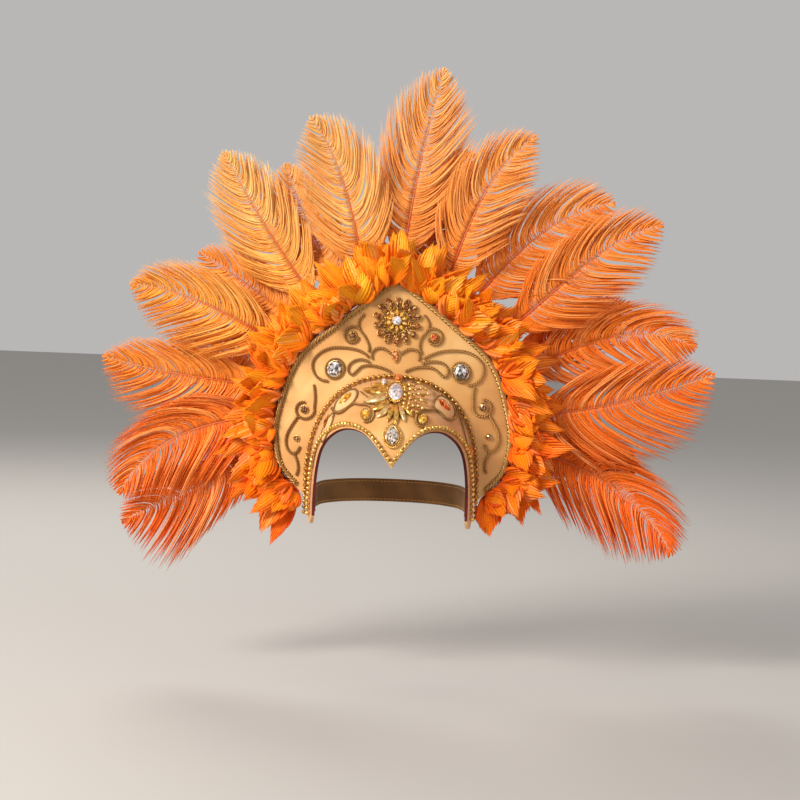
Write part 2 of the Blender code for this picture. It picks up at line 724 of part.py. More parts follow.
class LockBody:
    """A closed body grown from a row of box sections, some of whose side faces are drawn out into locks."""

    def __init__(self):
        self.vertices = []
        self.faces = []

    def add_section(self, corners):
        """Four corners: left front, right front, right back, left back."""
        start = len(self.vertices)
        self.vertices += corners
        return start

    def add_lock(self, base, rings, tip):
        """Draws the face with these four vertex numbers out through rings of four points to a tip."""
        last = base
        for ring in rings:
            start = len(self.vertices)
            self.vertices += ring
            current = [start + k for k in range(4)]
            for k in range(4):
                n = (k + 1) % 4
                self.faces.append((last[k], last[n], current[n], current[k]))
            last = current
        end = len(self.vertices)
        self.vertices.append(tip)
        for k in range(4):
            self.faces.append((last[k], last[(k + 1) % 4], end))

    def finish(self, name, material_name):
        return mesh_object(name, self.vertices, self.faces, material_name)


def plume_point(plume, u):
    """The shaft's centre line: u is 0 at the root and 1 at the tip."""
    radius = ROOT_RADIUS + (plume.reach - ROOT_RADIUS) * u
    angle = math.radians(plume.aim + plume.lean * u + plume.turn * u**3)
    x = FAN_CENTRE[0] + radius * math.sin(angle)
    z = FAN_CENTRE[1] + radius * math.cos(angle)
    held = min(radius, SPREAD_START)
    held_x = FAN_CENTRE[0] + held * math.sin(angle)
    held_z = FAN_CENTRE[1] + held * math.cos(angle)
    rest = plaque_front(held_x, held_z) + PLAQUE_THICKNESS + QUILL_RADIUS + QUILL_CLEARANCE
    past = max(radius - SPREAD_START, 0.0)
    spread = min(past / SPREAD_LENGTH, 1.0)
    spread = spread * spread * (3 - 2 * spread)
    bow = max(u - NOD_START, 0.0) / (1 - NOD_START)
    y = rest + FAN_SLOPE * past + plume.layer * spread - plume.nod * bow**NOD_POWER
    return Vector((x, y, z))


def plume_frame(plume, u):
    step = 0.01
    along = (plume_point(plume, min(u + step, 1.0)) - plume_point(plume, max(u - step, 0.0))).normalized()
    side = along.cross(Vector((0, -1, 0))).normalized()
    return along, side, side.cross(along).normalized()


def plume_half_width(plume, u):
    """Half the vane's width: it widens fast above the bare root and is round at the tip."""
    share = max(u - BARE_SHARE, 0.0) / (1 - BARE_SHARE)
    widening = 0.28 + 0.72 * min(share / plume.fill, 1.0)
    rounding = math.sqrt(max(1 - (max(share - 0.60, 0.0) / 0.40) ** 2.2, 0.0))
    return plume.width / 2 * widening * rounding


def barb_point(plume, start, sign, t):
    """A point of the barb that leaves the shaft at start: t is 0 at the shaft and 1 on the vane's edge."""
    length = plume.reach - ROOT_RADIUS
    share = (start - BARE_SHARE) / (1 - BARE_SHARE)
    sweep = math.radians(BARB_SWEEP[0] + (BARB_SWEEP[1] - BARB_SWEEP[0]) * share)
    low, high = start, 1.0
    for _ in range(16):
        end = (low + high) / 2
        if start + plume_half_width(plume, end) / math.tan(sweep) / length > end:
            low = end
        else:
            high = end
    reach = plume_half_width(plume, end)
    place = start + (end - start) * t
    along, side, front = plume_frame(plume, place)
    sink = 0.12 + plume.droop * max(-side[2] * sign, 0.0)
    bowed = Vector((0, 0, -sink)) + front * 0.10
    return plume_point(plume, place) + (side * sign * t + bowed * t * t) * reach


def make_plume(name, plume):
    """A shaft with barbs in flat locks, each drawn out of the shaft's side."""
    body = LockBody()
    pitch = (SHAFT_SHARE - BARE_SHARE) / plume.locks
    bare = [0.0, BARE_SHARE / 2]
    stations = bare + [BARE_SHARE + pitch * i for i in range(plume.locks + 1)]
    sections = []
    for u in stations:
        along, side, front = plume_frame(plume, u)
        half = QUILL_RADIUS * (1 - 0.55 * u)
        corners = [side * -half + front * half, (side + front) * half]
        corners += [side * half - front * half, (side + front) * -half]
        sections.append(body.add_section([plume_point(plume, u) + c for c in corners]))
    for i, (a, b) in enumerate(zip(sections, sections[1:])):
        body.faces.append((a, a + 1, b + 1, b))
        body.faces.append((a + 2, a + 3, b + 3, b + 2))
        if i < len(bare):
            body.faces.append((a + 3, a, b, b + 3))
            body.faces.append((a + 1, a + 2, b + 2, b + 1))
            continue
        u = (stations[i] + stations[i + 1]) / 2
        front = plume_frame(plume, u)[2] * LOCK_THICKNESS / 2
        for sign, shift in ((-1, 0), (1, 1)):
            low = barb_point(plume, u - LOCK_FILL * pitch, sign, LOCK_ROOT)
            high = barb_point(plume, u + LOCK_FILL * pitch, sign, LOCK_ROOT)
            ring = [low + front, high + front, high - front, low - front]
            base = [a + shift, b + shift, b + 3 - shift, a + 3 - shift]
            body.add_lock(base, [ring], barb_point(plume, u, sign, 1.0))
    first, last = sections[0], sections[-1]
    body.faces.append((first + 3, first + 2, first + 1, first))
    along, side, front = plume_frame(plume, 0.97)
    centre = plume_point(plume, 0.955)
    ring = [centre + side * x + front * y for x, y in ((-1, 1), (1, 1), (1, -1), (-1, -1))]
    ring = [centre + (p - centre) * LOCK_THICKNESS for p in ring]
    body.add_lock([last, last + 1, last + 2, last + 3], [ring], plume_point(plume, 1.0))
    return body.finish(name, "plume_orange")


def make_ruff_section(name, start, end, locks, chance):
    """A stretch of the ruff: a band outside the plaque's rim with curled feathers drawn out of it."""
    edge = mirrored_line(smooth_line(PLAQUE_EDGE, 61))
    body = LockBody()
    forward = Vector((0, -1, 0))

    def band_corners(place):
        """The four corners of the band's section at that place, counted in sections."""
        t = start + (end - start) * place / locks
        along_edge = (t + 1) / 2 * (len(edge) - 1)
        k = min(int(along_edge), len(edge) - 2)
        x, z = edge[k].lerp(edge[k + 1], along_edge - k)
        near, far = from_centre(x, z, 0.0008), from_centre(x, z, 0.0008 + RUFF_BAND_WIDTH)
        front = plaque_front(x, z) - 0.001
        back = front + PLAQUE_THICKNESS
        return [
            Vector((near[0], front, near[1])),
            Vector((far[0], front, far[1])),
            Vector((far[0], back, far[1])),
            Vector((near[0], back, near[1])),
        ]

    def outer_point(place, t, length):
        corners = band_corners(place)
        out = (corners[1] - corners[0]).normalized()
        return (corners[1] + corners[2]) / 2 + out * length * t + forward * 0.010 * t * t

    def front_point(place, t, length):
        corners = band_corners(place)
        out = (corners[1] - corners[0]).normalized()
        rise = forward * (1.1 * t - 0.55 * t * t) + out * (0.15 * t + 0.85 * t * t)
        return (corners[0] + corners[1]) / 2 + rise * length

    sections = [body.add_section(band_corners(i)) for i in range(locks + 1)]
    for i, (a, b) in enumerate(zip(sections, sections[1:])):
        body.faces.append((a + 2, a + 3, b + 3, b + 2))
        body.faces.append((a + 3, a, b, b + 3))
        drawn = (
            (outer_point, RUFF_LOCK_LENGTH, forward, (a + 1, b + 1, b + 2, a + 2)),
            (front_point, RUFF_FRONT_LOCK_LENGTH, None, (a, b, b + 1, a + 1)),
        )
        for point_at, length, facing, base in drawn:
            length *= chance.uniform(0.85, 1.10)
            lean = chance.uniform(-0.14, 0.14)
            rings = []
            for t, fill in ((0.35, 0.38), (0.75, 0.30)):
                middle = i + 0.5 + lean * t
                low = point_at(middle - fill, t, length)
                high = point_at(middle + fill, t, length)
                ahead = point_at(middle, t + 0.05, length) - point_at(middle, t - 0.05, length)
                thick = facing or (high - low).cross(ahead).normalized()
                thick = thick * (LOCK_THICKNESS / 2)
                rings.append([low + thick, high + thick, high - thick, low - thick])
            body.add_lock(base, rings, point_at(i + 0.5 + lean, 1.0, length))
    first, last = sections[0], sections[-1]
    body.faces.append((first + 3, first + 2, first + 1, first))
    body.faces.append((last, last + 1, last + 2, last + 3))
    return body.finish(name, "ruff_orange")


def clear_scene():
    for obj in list(bpy.data.objects):
        bpy.data.objects.remove(obj)


def main():
    clear_scene()
    make_plate("crown_plaque", 0.0, -0.003, 0.0, 0, PLAQUE_THICKNESS, "gold_satin")
    quill_space = PLAQUE_THICKNESS + 2 * (QUILL_RADIUS + QUILL_CLEARANCE)
    make_plate("feather_backing", quill_space, -0.002, 0.007, 1, BACKING_THICKNESS, "plain_band")
    make_brow_cap()
    make_head_band()
    make_braid()
    make_arch_beads()
    make_brow_beads()
    make_ornaments()
    for name, plume in PLUMES.items():
        make_plume(name, plume)
    chance = random.Random(11)
    for section in RUFF_SECTIONS:
        make_ruff_section(*section, chance)


main()
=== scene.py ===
import math
import random
from collections import namedtuple

import bmesh
import bpy
from mathutils import Matrix, Vector


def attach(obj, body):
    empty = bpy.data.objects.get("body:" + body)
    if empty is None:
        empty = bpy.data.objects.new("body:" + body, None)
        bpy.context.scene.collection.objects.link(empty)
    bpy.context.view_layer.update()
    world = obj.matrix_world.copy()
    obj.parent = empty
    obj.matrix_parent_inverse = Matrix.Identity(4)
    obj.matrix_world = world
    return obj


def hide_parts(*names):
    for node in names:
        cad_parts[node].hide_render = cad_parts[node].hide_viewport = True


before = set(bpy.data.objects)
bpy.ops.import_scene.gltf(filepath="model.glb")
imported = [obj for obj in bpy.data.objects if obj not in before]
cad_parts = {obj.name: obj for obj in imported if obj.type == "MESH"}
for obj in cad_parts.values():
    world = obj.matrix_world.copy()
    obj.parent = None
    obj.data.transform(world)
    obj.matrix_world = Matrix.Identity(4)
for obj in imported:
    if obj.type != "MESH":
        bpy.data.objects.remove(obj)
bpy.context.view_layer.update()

print("frame loaded,", len(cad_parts), "nodes")

# camera first, where the photographer stood
camera = {"place": (0.006, -2.0, 0.252), "aim": (0.006, 0.0, 0.126), "lens": 90.0, "roll": 2.2}


def makeCamera():
    data = bpy.data.cameras.new("camera")
    data.lens = camera["lens"]
    data.sensor_width = 36.0
    obj = bpy.data.objects.new("camera", data)
    place = Vector(camera["place"])
    turn = (Vector(camera["aim"]) - place).to_track_quat("-Z", "Y").to_matrix().to_4x4()
    obj.matrix_world = Matrix.Translation(place) @ turn @ Matrix.Rotation(math.radians(camera["roll"]), 4, "Z")
    bpy.context.scene.collection.objects.link(obj)
    bpy.context.scene.camera = obj


makeCamera()

# a pale floor well below the plumes, and big soft lamps
studio = {
    "floorHeight": -0.16,
    "floorSize": 14.0,
    "floorColor": (0.46, 0.44, 0.42),
    "worldColor": (0.80, 0.79, 0.78),
    "worldStrength": 0.60,
}
# name: place, size, watts, colour; each one looks at the crown
lamps = {
    "key": ((-1.7, -1.7, 1.5), 0.9, 92.0, (1.0, 0.95, 0.88)),
    "fill": ((1.9, -1.7, 0.5), 1.6, 9.0, (1.0, 0.97, 0.94)),
    "rim": ((-0.7, 1.5, 1.5), 1.0, 22.0, (1.0, 0.96, 0.90)),
}


def makeStudio():
    half = studio["floorSize"] / 2
    mesh = bpy.data.meshes.new("floor")
    corners = [(x, y, studio["floorHeight"]) for x, y in ((-half, -half), (half, -half), (half, half), (-half, half))]
    mesh.from_pydata(corners, [], [(0, 1, 2, 3)])
    floor = bpy.data.objects.new("floor", mesh)
    mesh.materials.append(plainMaterial("floorPaint", studio["floorColor"], 0.85))
    bpy.context.scene.collection.objects.link(floor)
    world = bpy.data.worlds.new("studio")
    world.use_nodes = True
    background = world.node_tree.nodes["Background"]
    background.inputs["Color"].default_value = (*studio["worldColor"], 1)
    background.inputs["Strength"].default_value = studio["worldStrength"]
    bpy.context.scene.world = world
    bpy.context.scene.view_settings.view_transform = "Standard"
    for name, (place, size, power, color) in lamps.items():
        data = bpy.data.lights.new(name, "AREA")
        data.size = size
        data.energy = power
        data.color = color
        lamp = bpy.data.objects.new(name, data)
        turn = (Vector((0, 0, 0.18)) - Vector(place)).to_track_quat("-Z", "Y").to_matrix().to_4x4()
        lamp.matrix_world = Matrix.Translation(place) @ turn
        bpy.context.scene.collection.objects.link(lamp)


# materials

def srgb(red, green, blue):
    return tuple((value / 255) ** 2.2 for value in (red, green, blue))


def plainMaterial(name, color, roughness, metallic=0.0):
    made = bpy.data.materials.new(name)
    made.use_nodes = True
    shader = made.node_tree.nodes["Principled BSDF"]
    shader.inputs["Base Color"].default_value = (*color, 1)
    shader.inputs["Roughness"].default_value = roughness
    shader.inputs["Metallic"].default_value = metallic
    return made


def shaderOf(made):
    return made.node_tree.nodes["Principled BSDF"]


def addNode(made, kind, feeds=None, **settings):
    node = made.node_tree.nodes.new(kind)
    for key, value in settings.items():
        setattr(node, key, value)
    for key, value in (feeds or {}).items():
        socket = node.inputs[key]
        if isinstance(value, bpy.types.NodeSocket):
            made.node_tree.links.new(value, socket)
        else:
            socket.default_value = value
    return node


def addRamp(made, factor, stops):
    # stops are (place, colour)
    node = addNode(made, "ShaderNodeValToRGB", {"Fac": factor})
    ramp = node.color_ramp
    while len(ramp.elements) < len(stops):
        ramp.elements.new(0.5)
    for element, (place, color) in zip(ramp.elements, stops):
        element.position = place
        element.color = (*color, 1)
    return node.outputs["Color"]


def addMix(made, blend, share, first, second):
    node = addNode(made, "ShaderNodeMix", data_type="RGBA", blend_type=blend)
    for key, value in ((0, share), (6, first), (7, second)):
        if isinstance(value, bpy.types.NodeSocket):
            made.node_tree.links.new(value, node.inputs[key])
        else:
            node.inputs[key].default_value = value if key == 0 else (*value, 1)
    return node.outputs[2]


def addMath(made, operation, first, second=0.0):
    node = addNode(made, "ShaderNodeMath", operation=operation)
    for key, value in ((0, first), (1, second)):
        if isinstance(value, bpy.types.NodeSocket):
            made.node_tree.links.new(value, node.inputs[key])
        else:
            node.inputs[key].default_value = value
    return node.outputs[0]


def addBump(made, height, strength, distance):
    bump = addNode(made, "ShaderNodeBump", {"Height": height, "Strength": strength, "Distance": distance})
    made.node_tree.links.new(bump.outputs["Normal"], shaderOf(made).inputs["Normal"])
    return bump


def setColor(made, socket):
    made.node_tree.links.new(socket, shaderOf(made).inputs["Base Color"])


def objectPlace(made):
    return addNode(made, "ShaderNodeTexCoord").outputs["Object"]


def attribute(made, name):
    return addNode(made, "ShaderNodeAttribute", attribute_name=name)


def featherMaterial(name, stops, shadowShare, roughness):
    # tone is (share along the barb, share along the shaft, chance of the barb); tint mixes towards a deeper copy of the
    # ramp, partly the plume's own colour and partly painted shade
    made = plainMaterial(name, stops[1][1], roughness)
    tone = addNode(made, "ShaderNodeSeparateXYZ", {"Vector": attribute(made, "tone").outputs["Vector"]})
    along, place, chance = tone.outputs
    tint = attribute(made, "tint").outputs["Fac"]
    # pale and deep are a lit and a shaded copy of one ramp: partly the feathers' own deeper colour, partly painted
    # shade
    pale = addRamp(made, along, stops)
    deep = addRamp(made, along, [(p, tuple(c * f for c, f in zip(color, (0.92, 0.46, 0.18)))) for p, color in stops])
    color = addMix(made, "MIX", tint, pale, deep)
    streak = addNode(made, "ShaderNodeTexNoise", {"Vector": objectPlace(made), "Scale": 520.0, "Detail": 2.0})
    # painted shade and painted highlight on single barbs: barbs with a low chance are darkened by shadowShare like
    # barbs in their neighbours' shadow, and those with a high chance are screened towards a pale warm highlight
    dark = addMix(made, "MULTIPLY", shadowShare, color, addRamp(made, chance, [(0.0, (0.88, 0.50, 0.24)), (0.45, (1, 1, 1))]))
    light = addMix(made, "SCREEN", addRamp(made, chance, [(0.70, (0, 0, 0)), (1.0, (0.34, 0.34, 0.34))]), dark, (1.0, 0.66, 0.30))
    setColor(made, addMix(made, "SOFT_LIGHT", 0.35, light, addRamp(made, streak.outputs["Fac"], [(0.3, (0.2, 0.2, 0.2)), (0.7, (0.8, 0.8, 0.8))])))
    shader = shaderOf(made)
    shader.inputs["Specular IOR Level"].default_value = 0.22
    shader.inputs["Sheen Weight"].default_value = 0.12
    shader.inputs["Sheen Tint"].default_value = (1.0, 0.62, 0.28, 1)
    addBump(made, streak.outputs["Fac"], 0.25, 0.0004)
    return made


def shaftMaterial():
    # red-brown at the root, paler than the barbs at the tip
    made = plainMaterial("plumeShaft", srgb(190, 84, 30), 0.5)
    along = attribute(made, "alongShaft").outputs["Fac"]
    setColor(made, addRamp(made, along, [(0.15, srgb(176, 54, 22)), (0.60, srgb(214, 104, 44)), (1.0, srgb(250, 176, 100))]))
    return made


def satinMaterial(name, shades):
    dark, middle, light = [srgb(*shade) for shade in shades]
    made = plainMaterial(name, middle, 0.42, 0.15)
    place = objectPlace(made)
    soft = addNode(made, "ShaderNodeTexNoise", {"Vector": place, "Scale": 14.0, "Detail": 3.0})
    color = addRamp(made, soft.outputs["Fac"], [(0.30, dark), (0.52, middle), (0.75, light)])
    warp = addNode(made, "ShaderNodeTexWave", {"Vector": place, "Scale": 420.0, "Distortion": 0.6}, bands_direction="X")
    weft = addNode(made, "ShaderNodeTexWave", {"Vector": place, "Scale": 420.0, "Distortion": 0.6}, bands_direction="Z")
    threads = addMath(made, "MULTIPLY", warp.outputs["Fac"], weft.outputs["Fac"])
    setColor(made, addMix(made, "MULTIPLY", 0.22, color, addRamp(made, threads, [(0.0, (0.55, 0.45, 0.35)), (0.6, (1, 1, 1))])))
    addBump(made, threads, 0.25, 0.0002)
    shader = shaderOf(made)
    shader.inputs["Sheen Weight"].default_value = 0.3
    shader.inputs["Anisotropic"].default_value = 0.4
    return made


def metalMaterial(name, dark, light, roughness, scale):
    made = plainMaterial(name, light, roughness, 0.7)
    noise = addNode(made, "ShaderNodeTexNoise", {"Vector": objectPlace(made), "Scale": scale, "Detail": 3.0})
    setColor(made, addRamp(made, noise.outputs["Fac"], [(0.35, dark), (0.62, light)]))
    addBump(made, noise.outputs["Fac"], 0.2, 0.0003)
    return made


def cordMaterial(name, dark, light):
    # crest is 1 on the outside of each strand and 0 where it lies against its neighbour; the ramp on it is painted
    # shade between the strands and a painted highlight on their outsides
    made = plainMaterial(name, light, 0.36, 0.35)
    paintedShadeAndHighlight = addRamp(made, attribute(made, "crest").outputs["Fac"], [(0.30, dark), (0.95, light)])
    noise = addNode(made, "ShaderNodeTexNoise", {"Vector": objectPlace(made), "Scale": 900.0, "Detail": 2.0})
    setColor(made, addMix(made, "SOFT_LIGHT", 0.5, paintedShadeAndHighlight, noise.outputs["Color"]))
    addBump(made, noise.outputs["Fac"], 0.3, 0.0002)
    return made


def gemMaterial(name, stops, roughness=0.06):
    # painted reflections: spark is a chance value for each facet that picks a shade from a painted dark reflection to a
    # painted white glint, so that neighbours differ as cut glass over foil does
    made = plainMaterial(name, stops[-1][1], roughness, 0.2)
    setColor(made, addRamp(made, attribute(made, "spark").outputs["Fac"], stops))
    shaderOf(made).inputs["Coat Weight"].default_value = 0.8
    shaderOf(made).inputs["Coat Roughness"].default_value = 0.03
    return made


def clothMaterial(name, dark, light, scale):
    made = plainMaterial(name, light, 0.8)
    place = objectPlace(made)
    noise = addNode(made, "ShaderNodeTexNoise", {"Vector": place, "Scale": 30.0, "Detail": 3.0})
    threads = addNode(made, "ShaderNodeTexWave", {"Vector": place, "Scale": scale, "Distortion": 1.0}, bands_direction="DIAGONAL")
    color = addRamp(made, noise.outputs["Fac"], [(0.3, dark), (0.7, light)])
    setColor(made, addMix(made, "MULTIPLY", 0.4, color, addRamp(made, threads.outputs["Fac"], [(0.0, (0.5, 0.5, 0.5)), (0.7, (1, 1, 1))])))
    addBump(made, threads.outputs["Fac"], 0.4, 0.0003)
    return made


materials = {
    "satin": satinMaterial("goldSatin", ((204, 142, 76), (228, 172, 102), (244, 200, 134))),
    "lining": clothMaterial("redLining", srgb(70, 12, 8), srgb(112, 24, 14), 300.0),
    "backing": clothMaterial("stiffBacking", srgb(120, 84, 44), srgb(158, 116, 66), 260.0),
    "strap": clothMaterial("wovenStrap", srgb(112, 76, 38), srgb(150, 106, 58), 380.0),
    "pad": satinMaterial("creamSatin", ((214, 160, 96), (240, 196, 128), (252, 224, 166))),
    "tape": clothMaterial("ruffTape", srgb(150, 34, 0), srgb(206, 66, 4), 260.0),
    "thread": plainMaterial("stitchThread", srgb(214, 160, 84), 0.6),
    # the cords' dark colour is painted shade between the strands and their light colour a painted highlight on the
    # crests
    "cord": cordMaterial("antiqueCordPaintedShade", srgb(86, 46, 14), srgb(240, 184, 100)),
    "braid": cordMaterial("edgeBraidGold", srgb(120, 72, 24), srgb(252, 208, 124)),
    "darkBead": metalMaterial("bronzeBeads", srgb(128, 80, 26), srgb(232, 178, 90), 0.25, 420.0),
    "bead": metalMaterial("goldBeads", srgb(176, 122, 44), srgb(255, 216, 130), 0.22, 420.0),
    "leaf": metalMaterial("brightGold", srgb(168, 116, 40), srgb(250, 206, 112), 0.26, 300.0),
    "paleLeaf": metalMaterial("paleGold", srgb(206, 160, 88), srgb(255, 232, 170), 0.30, 300.0),
    "plume": featherMaterial(
        "plumeBarbs",
        [(0.0, srgb(250, 88, 8)), (0.35, srgb(255, 124, 24)), (0.72, srgb(255, 172, 70)), (1.0, srgb(255, 220, 146))],
        0.75,
        0.55,
    ),
    # the ruff ramp runs from deep red at the roots to yellow at the tips: partly the feathers' own colour, partly
    # painted shade where the roots lie deep in the ruff
    "ruff": featherMaterial(
        "ruffFeathers",
        [(0.0, srgb(214, 40, 0)), (0.26, srgb(248, 92, 2)), (0.60, srgb(255, 152, 6)), (1.0, srgb(255, 206, 52))],
        0.6,
        0.5,
    ),
    "shaft": shaftMaterial(),
    # stone ramps: over each stone's own colour, the dark stops are painted reflections and the white stops painted
    # glints, picked for each facet by spark
    "crystal": gemMaterial("crystalStone", [(0.0, srgb(40, 28, 22)), (0.40, srgb(112, 98, 88)), (0.70, srgb(196, 196, 202)), (1.0, srgb(255, 255, 255))]),
    "clear": gemMaterial("clearStone", [(0.0, srgb(150, 146, 152)), (0.35, srgb(196, 196, 208)), (0.7, srgb(238, 238, 246)), (1.0, srgb(255, 255, 255))]),
    "amber": gemMaterial("amberStone", [(0.0, srgb(64, 20, 4)), (0.4, srgb(148, 66, 14)), (0.75, srgb(216, 126, 40)), (1.0, srgb(255, 206, 140))]),
    "rosette": gemMaterial("rosetteStone", [(0.0, srgb(52, 18, 4)), (0.45, srgb(118, 58, 16)), (0.8, srgb(190, 120, 48)), (1.0, srgb(255, 214, 150))]),
    "peak": gemMaterial("peakStone", [(0.0, srgb(72, 40, 18)), (0.3, srgb(150, 120, 90)), (0.6, srgb(214, 206, 204)), (1.0, srgb(255, 250, 240))]),
    "brown": gemMaterial("brownStone", [(0.0, srgb(40, 16, 6)), (0.45, srgb(98, 52, 22)), (0.8, srgb(176, 112, 58)), (1.0, srgb(255, 226, 180))]),
    "yellow": gemMaterial("yellowStone", [(0.0, srgb(150, 84, 6)), (0.4, srgb(214, 146, 22)), (0.8, srgb(250, 200, 70)), (1.0, srgb(255, 240, 180))]),
    "red": gemMaterial("redStone", [(0.0, srgb(96, 16, 2)), (0.4, srgb(186, 52, 10)), (0.8, srgb(236, 104, 30)), (1.0, srgb(255, 190, 120))]),
}
makeStudio()
print("studio and materials made")

# the crown's form, as the solids have it

gap = 0.0003
plaque = {"thickness": 0.004, "lean": 0.10, "bend": 0.45, "foot": 0.026}
plaqueEdge = (
    (0.000, 0.2470), (0.030, 0.2260), (0.062, 0.2005), (0.0925, 0.1740), (0.1085, 0.1460),
    (0.119, 0.1080), (0.1215, 0.0850), (0.116, 0.0570), (0.105, 0.0420), (0.088, 0.0270),
)
arch = {"halfWidth": 0.083, "spring": 0.045, "rise": 0.101, "power": 2.3, "share": 0.8}
cap = {"thickness": 0.003, "rearGap": 0.0005, "depth": 0.097, "power": 4.5, "tabRounding": 0.009}
browEdge = (
    (0.000, 0.0660), (0.009, 0.0780), (0.0185, 0.0900), (0.0275, 0.0975), (0.0385, 0.1010), (0.051, 0.0990),
    (0.063, 0.0900), (0.0710, 0.0770), (0.0750, 0.0600), (0.0770, 0.0400), (0.0775, 0.0220),
)


def plaqueFront(x, z):
    return plaque["lean"] * (z - arch["spring"]) + x * x / (2 * plaque["bend"])


def domeRadius(x, z):
    across = abs(x) / arch["halfWidth"]
    up = max(z - arch["spring"], 0.0) / arch["rise"]
    return (across ** arch["power"] + up ** arch["power"]) ** (1 / arch["power"])


def browFront(x, z):
    radius = min(domeRadius(x, z), 1.0)
    return plaqueFront(x, z) - cap["rearGap"] - cap["depth"] * (1 - radius ** cap["power"])


def surfaceNormal(surface, x, z):
    step = 0.0004
    slopeX = (surface(x + step, z) - surface(x - step, z)) / (2 * step)
    slopeZ = (surface(x, z + step) - surface(x, z - step)) / (2 * step)
    return Vector((slopeX, -1.0, slopeZ)).normalized()


def onSurface(surface, x, z, lift):
    return Vector((x, surface(x, z), z)) + surfaceNormal(surface, x, z) * lift


def smoothLine(points, count):
    given = [Vector(p) for p in points]
    padded = [2 * given[0] - given[1], *given, 2 * given[-1] - given[-2]]
    fine = []
    for a, b, c, d in zip(padded, padded[1:], padded[2:], padded[3:]):
        for i in range(24):
            s = i / 24
            curve = 2 * b + (c - a) * s + (2 * a - 5 * b + 4 * c - d) * s**2 + (3 * b - a - 3 * c + d) * s**3
            fine.append(curve * 0.5)
    fine.append(given[-1])
    return evenly(fine, [(q - p).length for p, q in zip(fine, fine[1:])], count)


def evenly(line, steps, count):
    total, picked, done, i = sum(steps), [line[0]], 0.0, 0
    for k in range(1, count - 1):
        wanted = total * k / (count - 1)
        while done + steps[i] < wanted:
            done += steps[i]
            i += 1
        picked.append(line[i].lerp(line[i + 1], (wanted - done) / steps[i]))
    return [*picked, line[-1]]


def mirroredLine(half):
    left = [Vector((-p[0], *p[1:])) for p in reversed(half[1:])]
    return [*left, *half]


def archPoint(t, grow):
    curved = min(abs(t) / arch["share"], 1.0) * math.pi / 2
    power = 2 / arch["power"]
    x = (arch["halfWidth"] + grow) * math.sin(curved) ** power
    z = arch["spring"] + (arch["rise"] + grow) * math.cos(curved) ** power
    if abs(t) > arch["share"]:
        z = arch["spring"] - (abs(t) - arch["share"]) / (1 - arch["share"]) * (arch["spring"] - plaque["foot"])
    return math.copysign(x, t), z


# formulas for Geometry Nodes: a Value is a socket that can stand in a sum

class Value:
    def __init__(self, maker, socket):
        self.maker = maker
        self.socket = socket

    def __add__(self, other):
        return self.maker.calc("ADD", self, other)

    def __radd__(self, other):
        return self.maker.calc("ADD", other, self)

    def __sub__(self, other):
        return self.maker.calc("SUBTRACT", self, other)

    def __rsub__(self, other):
        return self.maker.calc("SUBTRACT", other, self)

    def __mul__(self, other):
        return self.maker.calc("MULTIPLY", self, other)

    def __rmul__(self, other):
        return self.maker.calc("MULTIPLY", other, self)

    def __truediv__(self, other):
        return self.maker.calc("DIVIDE", self, other)

    def __rtruediv__(self, other):
        return self.maker.calc("DIVIDE", other, self)

    def __pow__(self, other):
        return self.maker.calc("POWER", self, other)


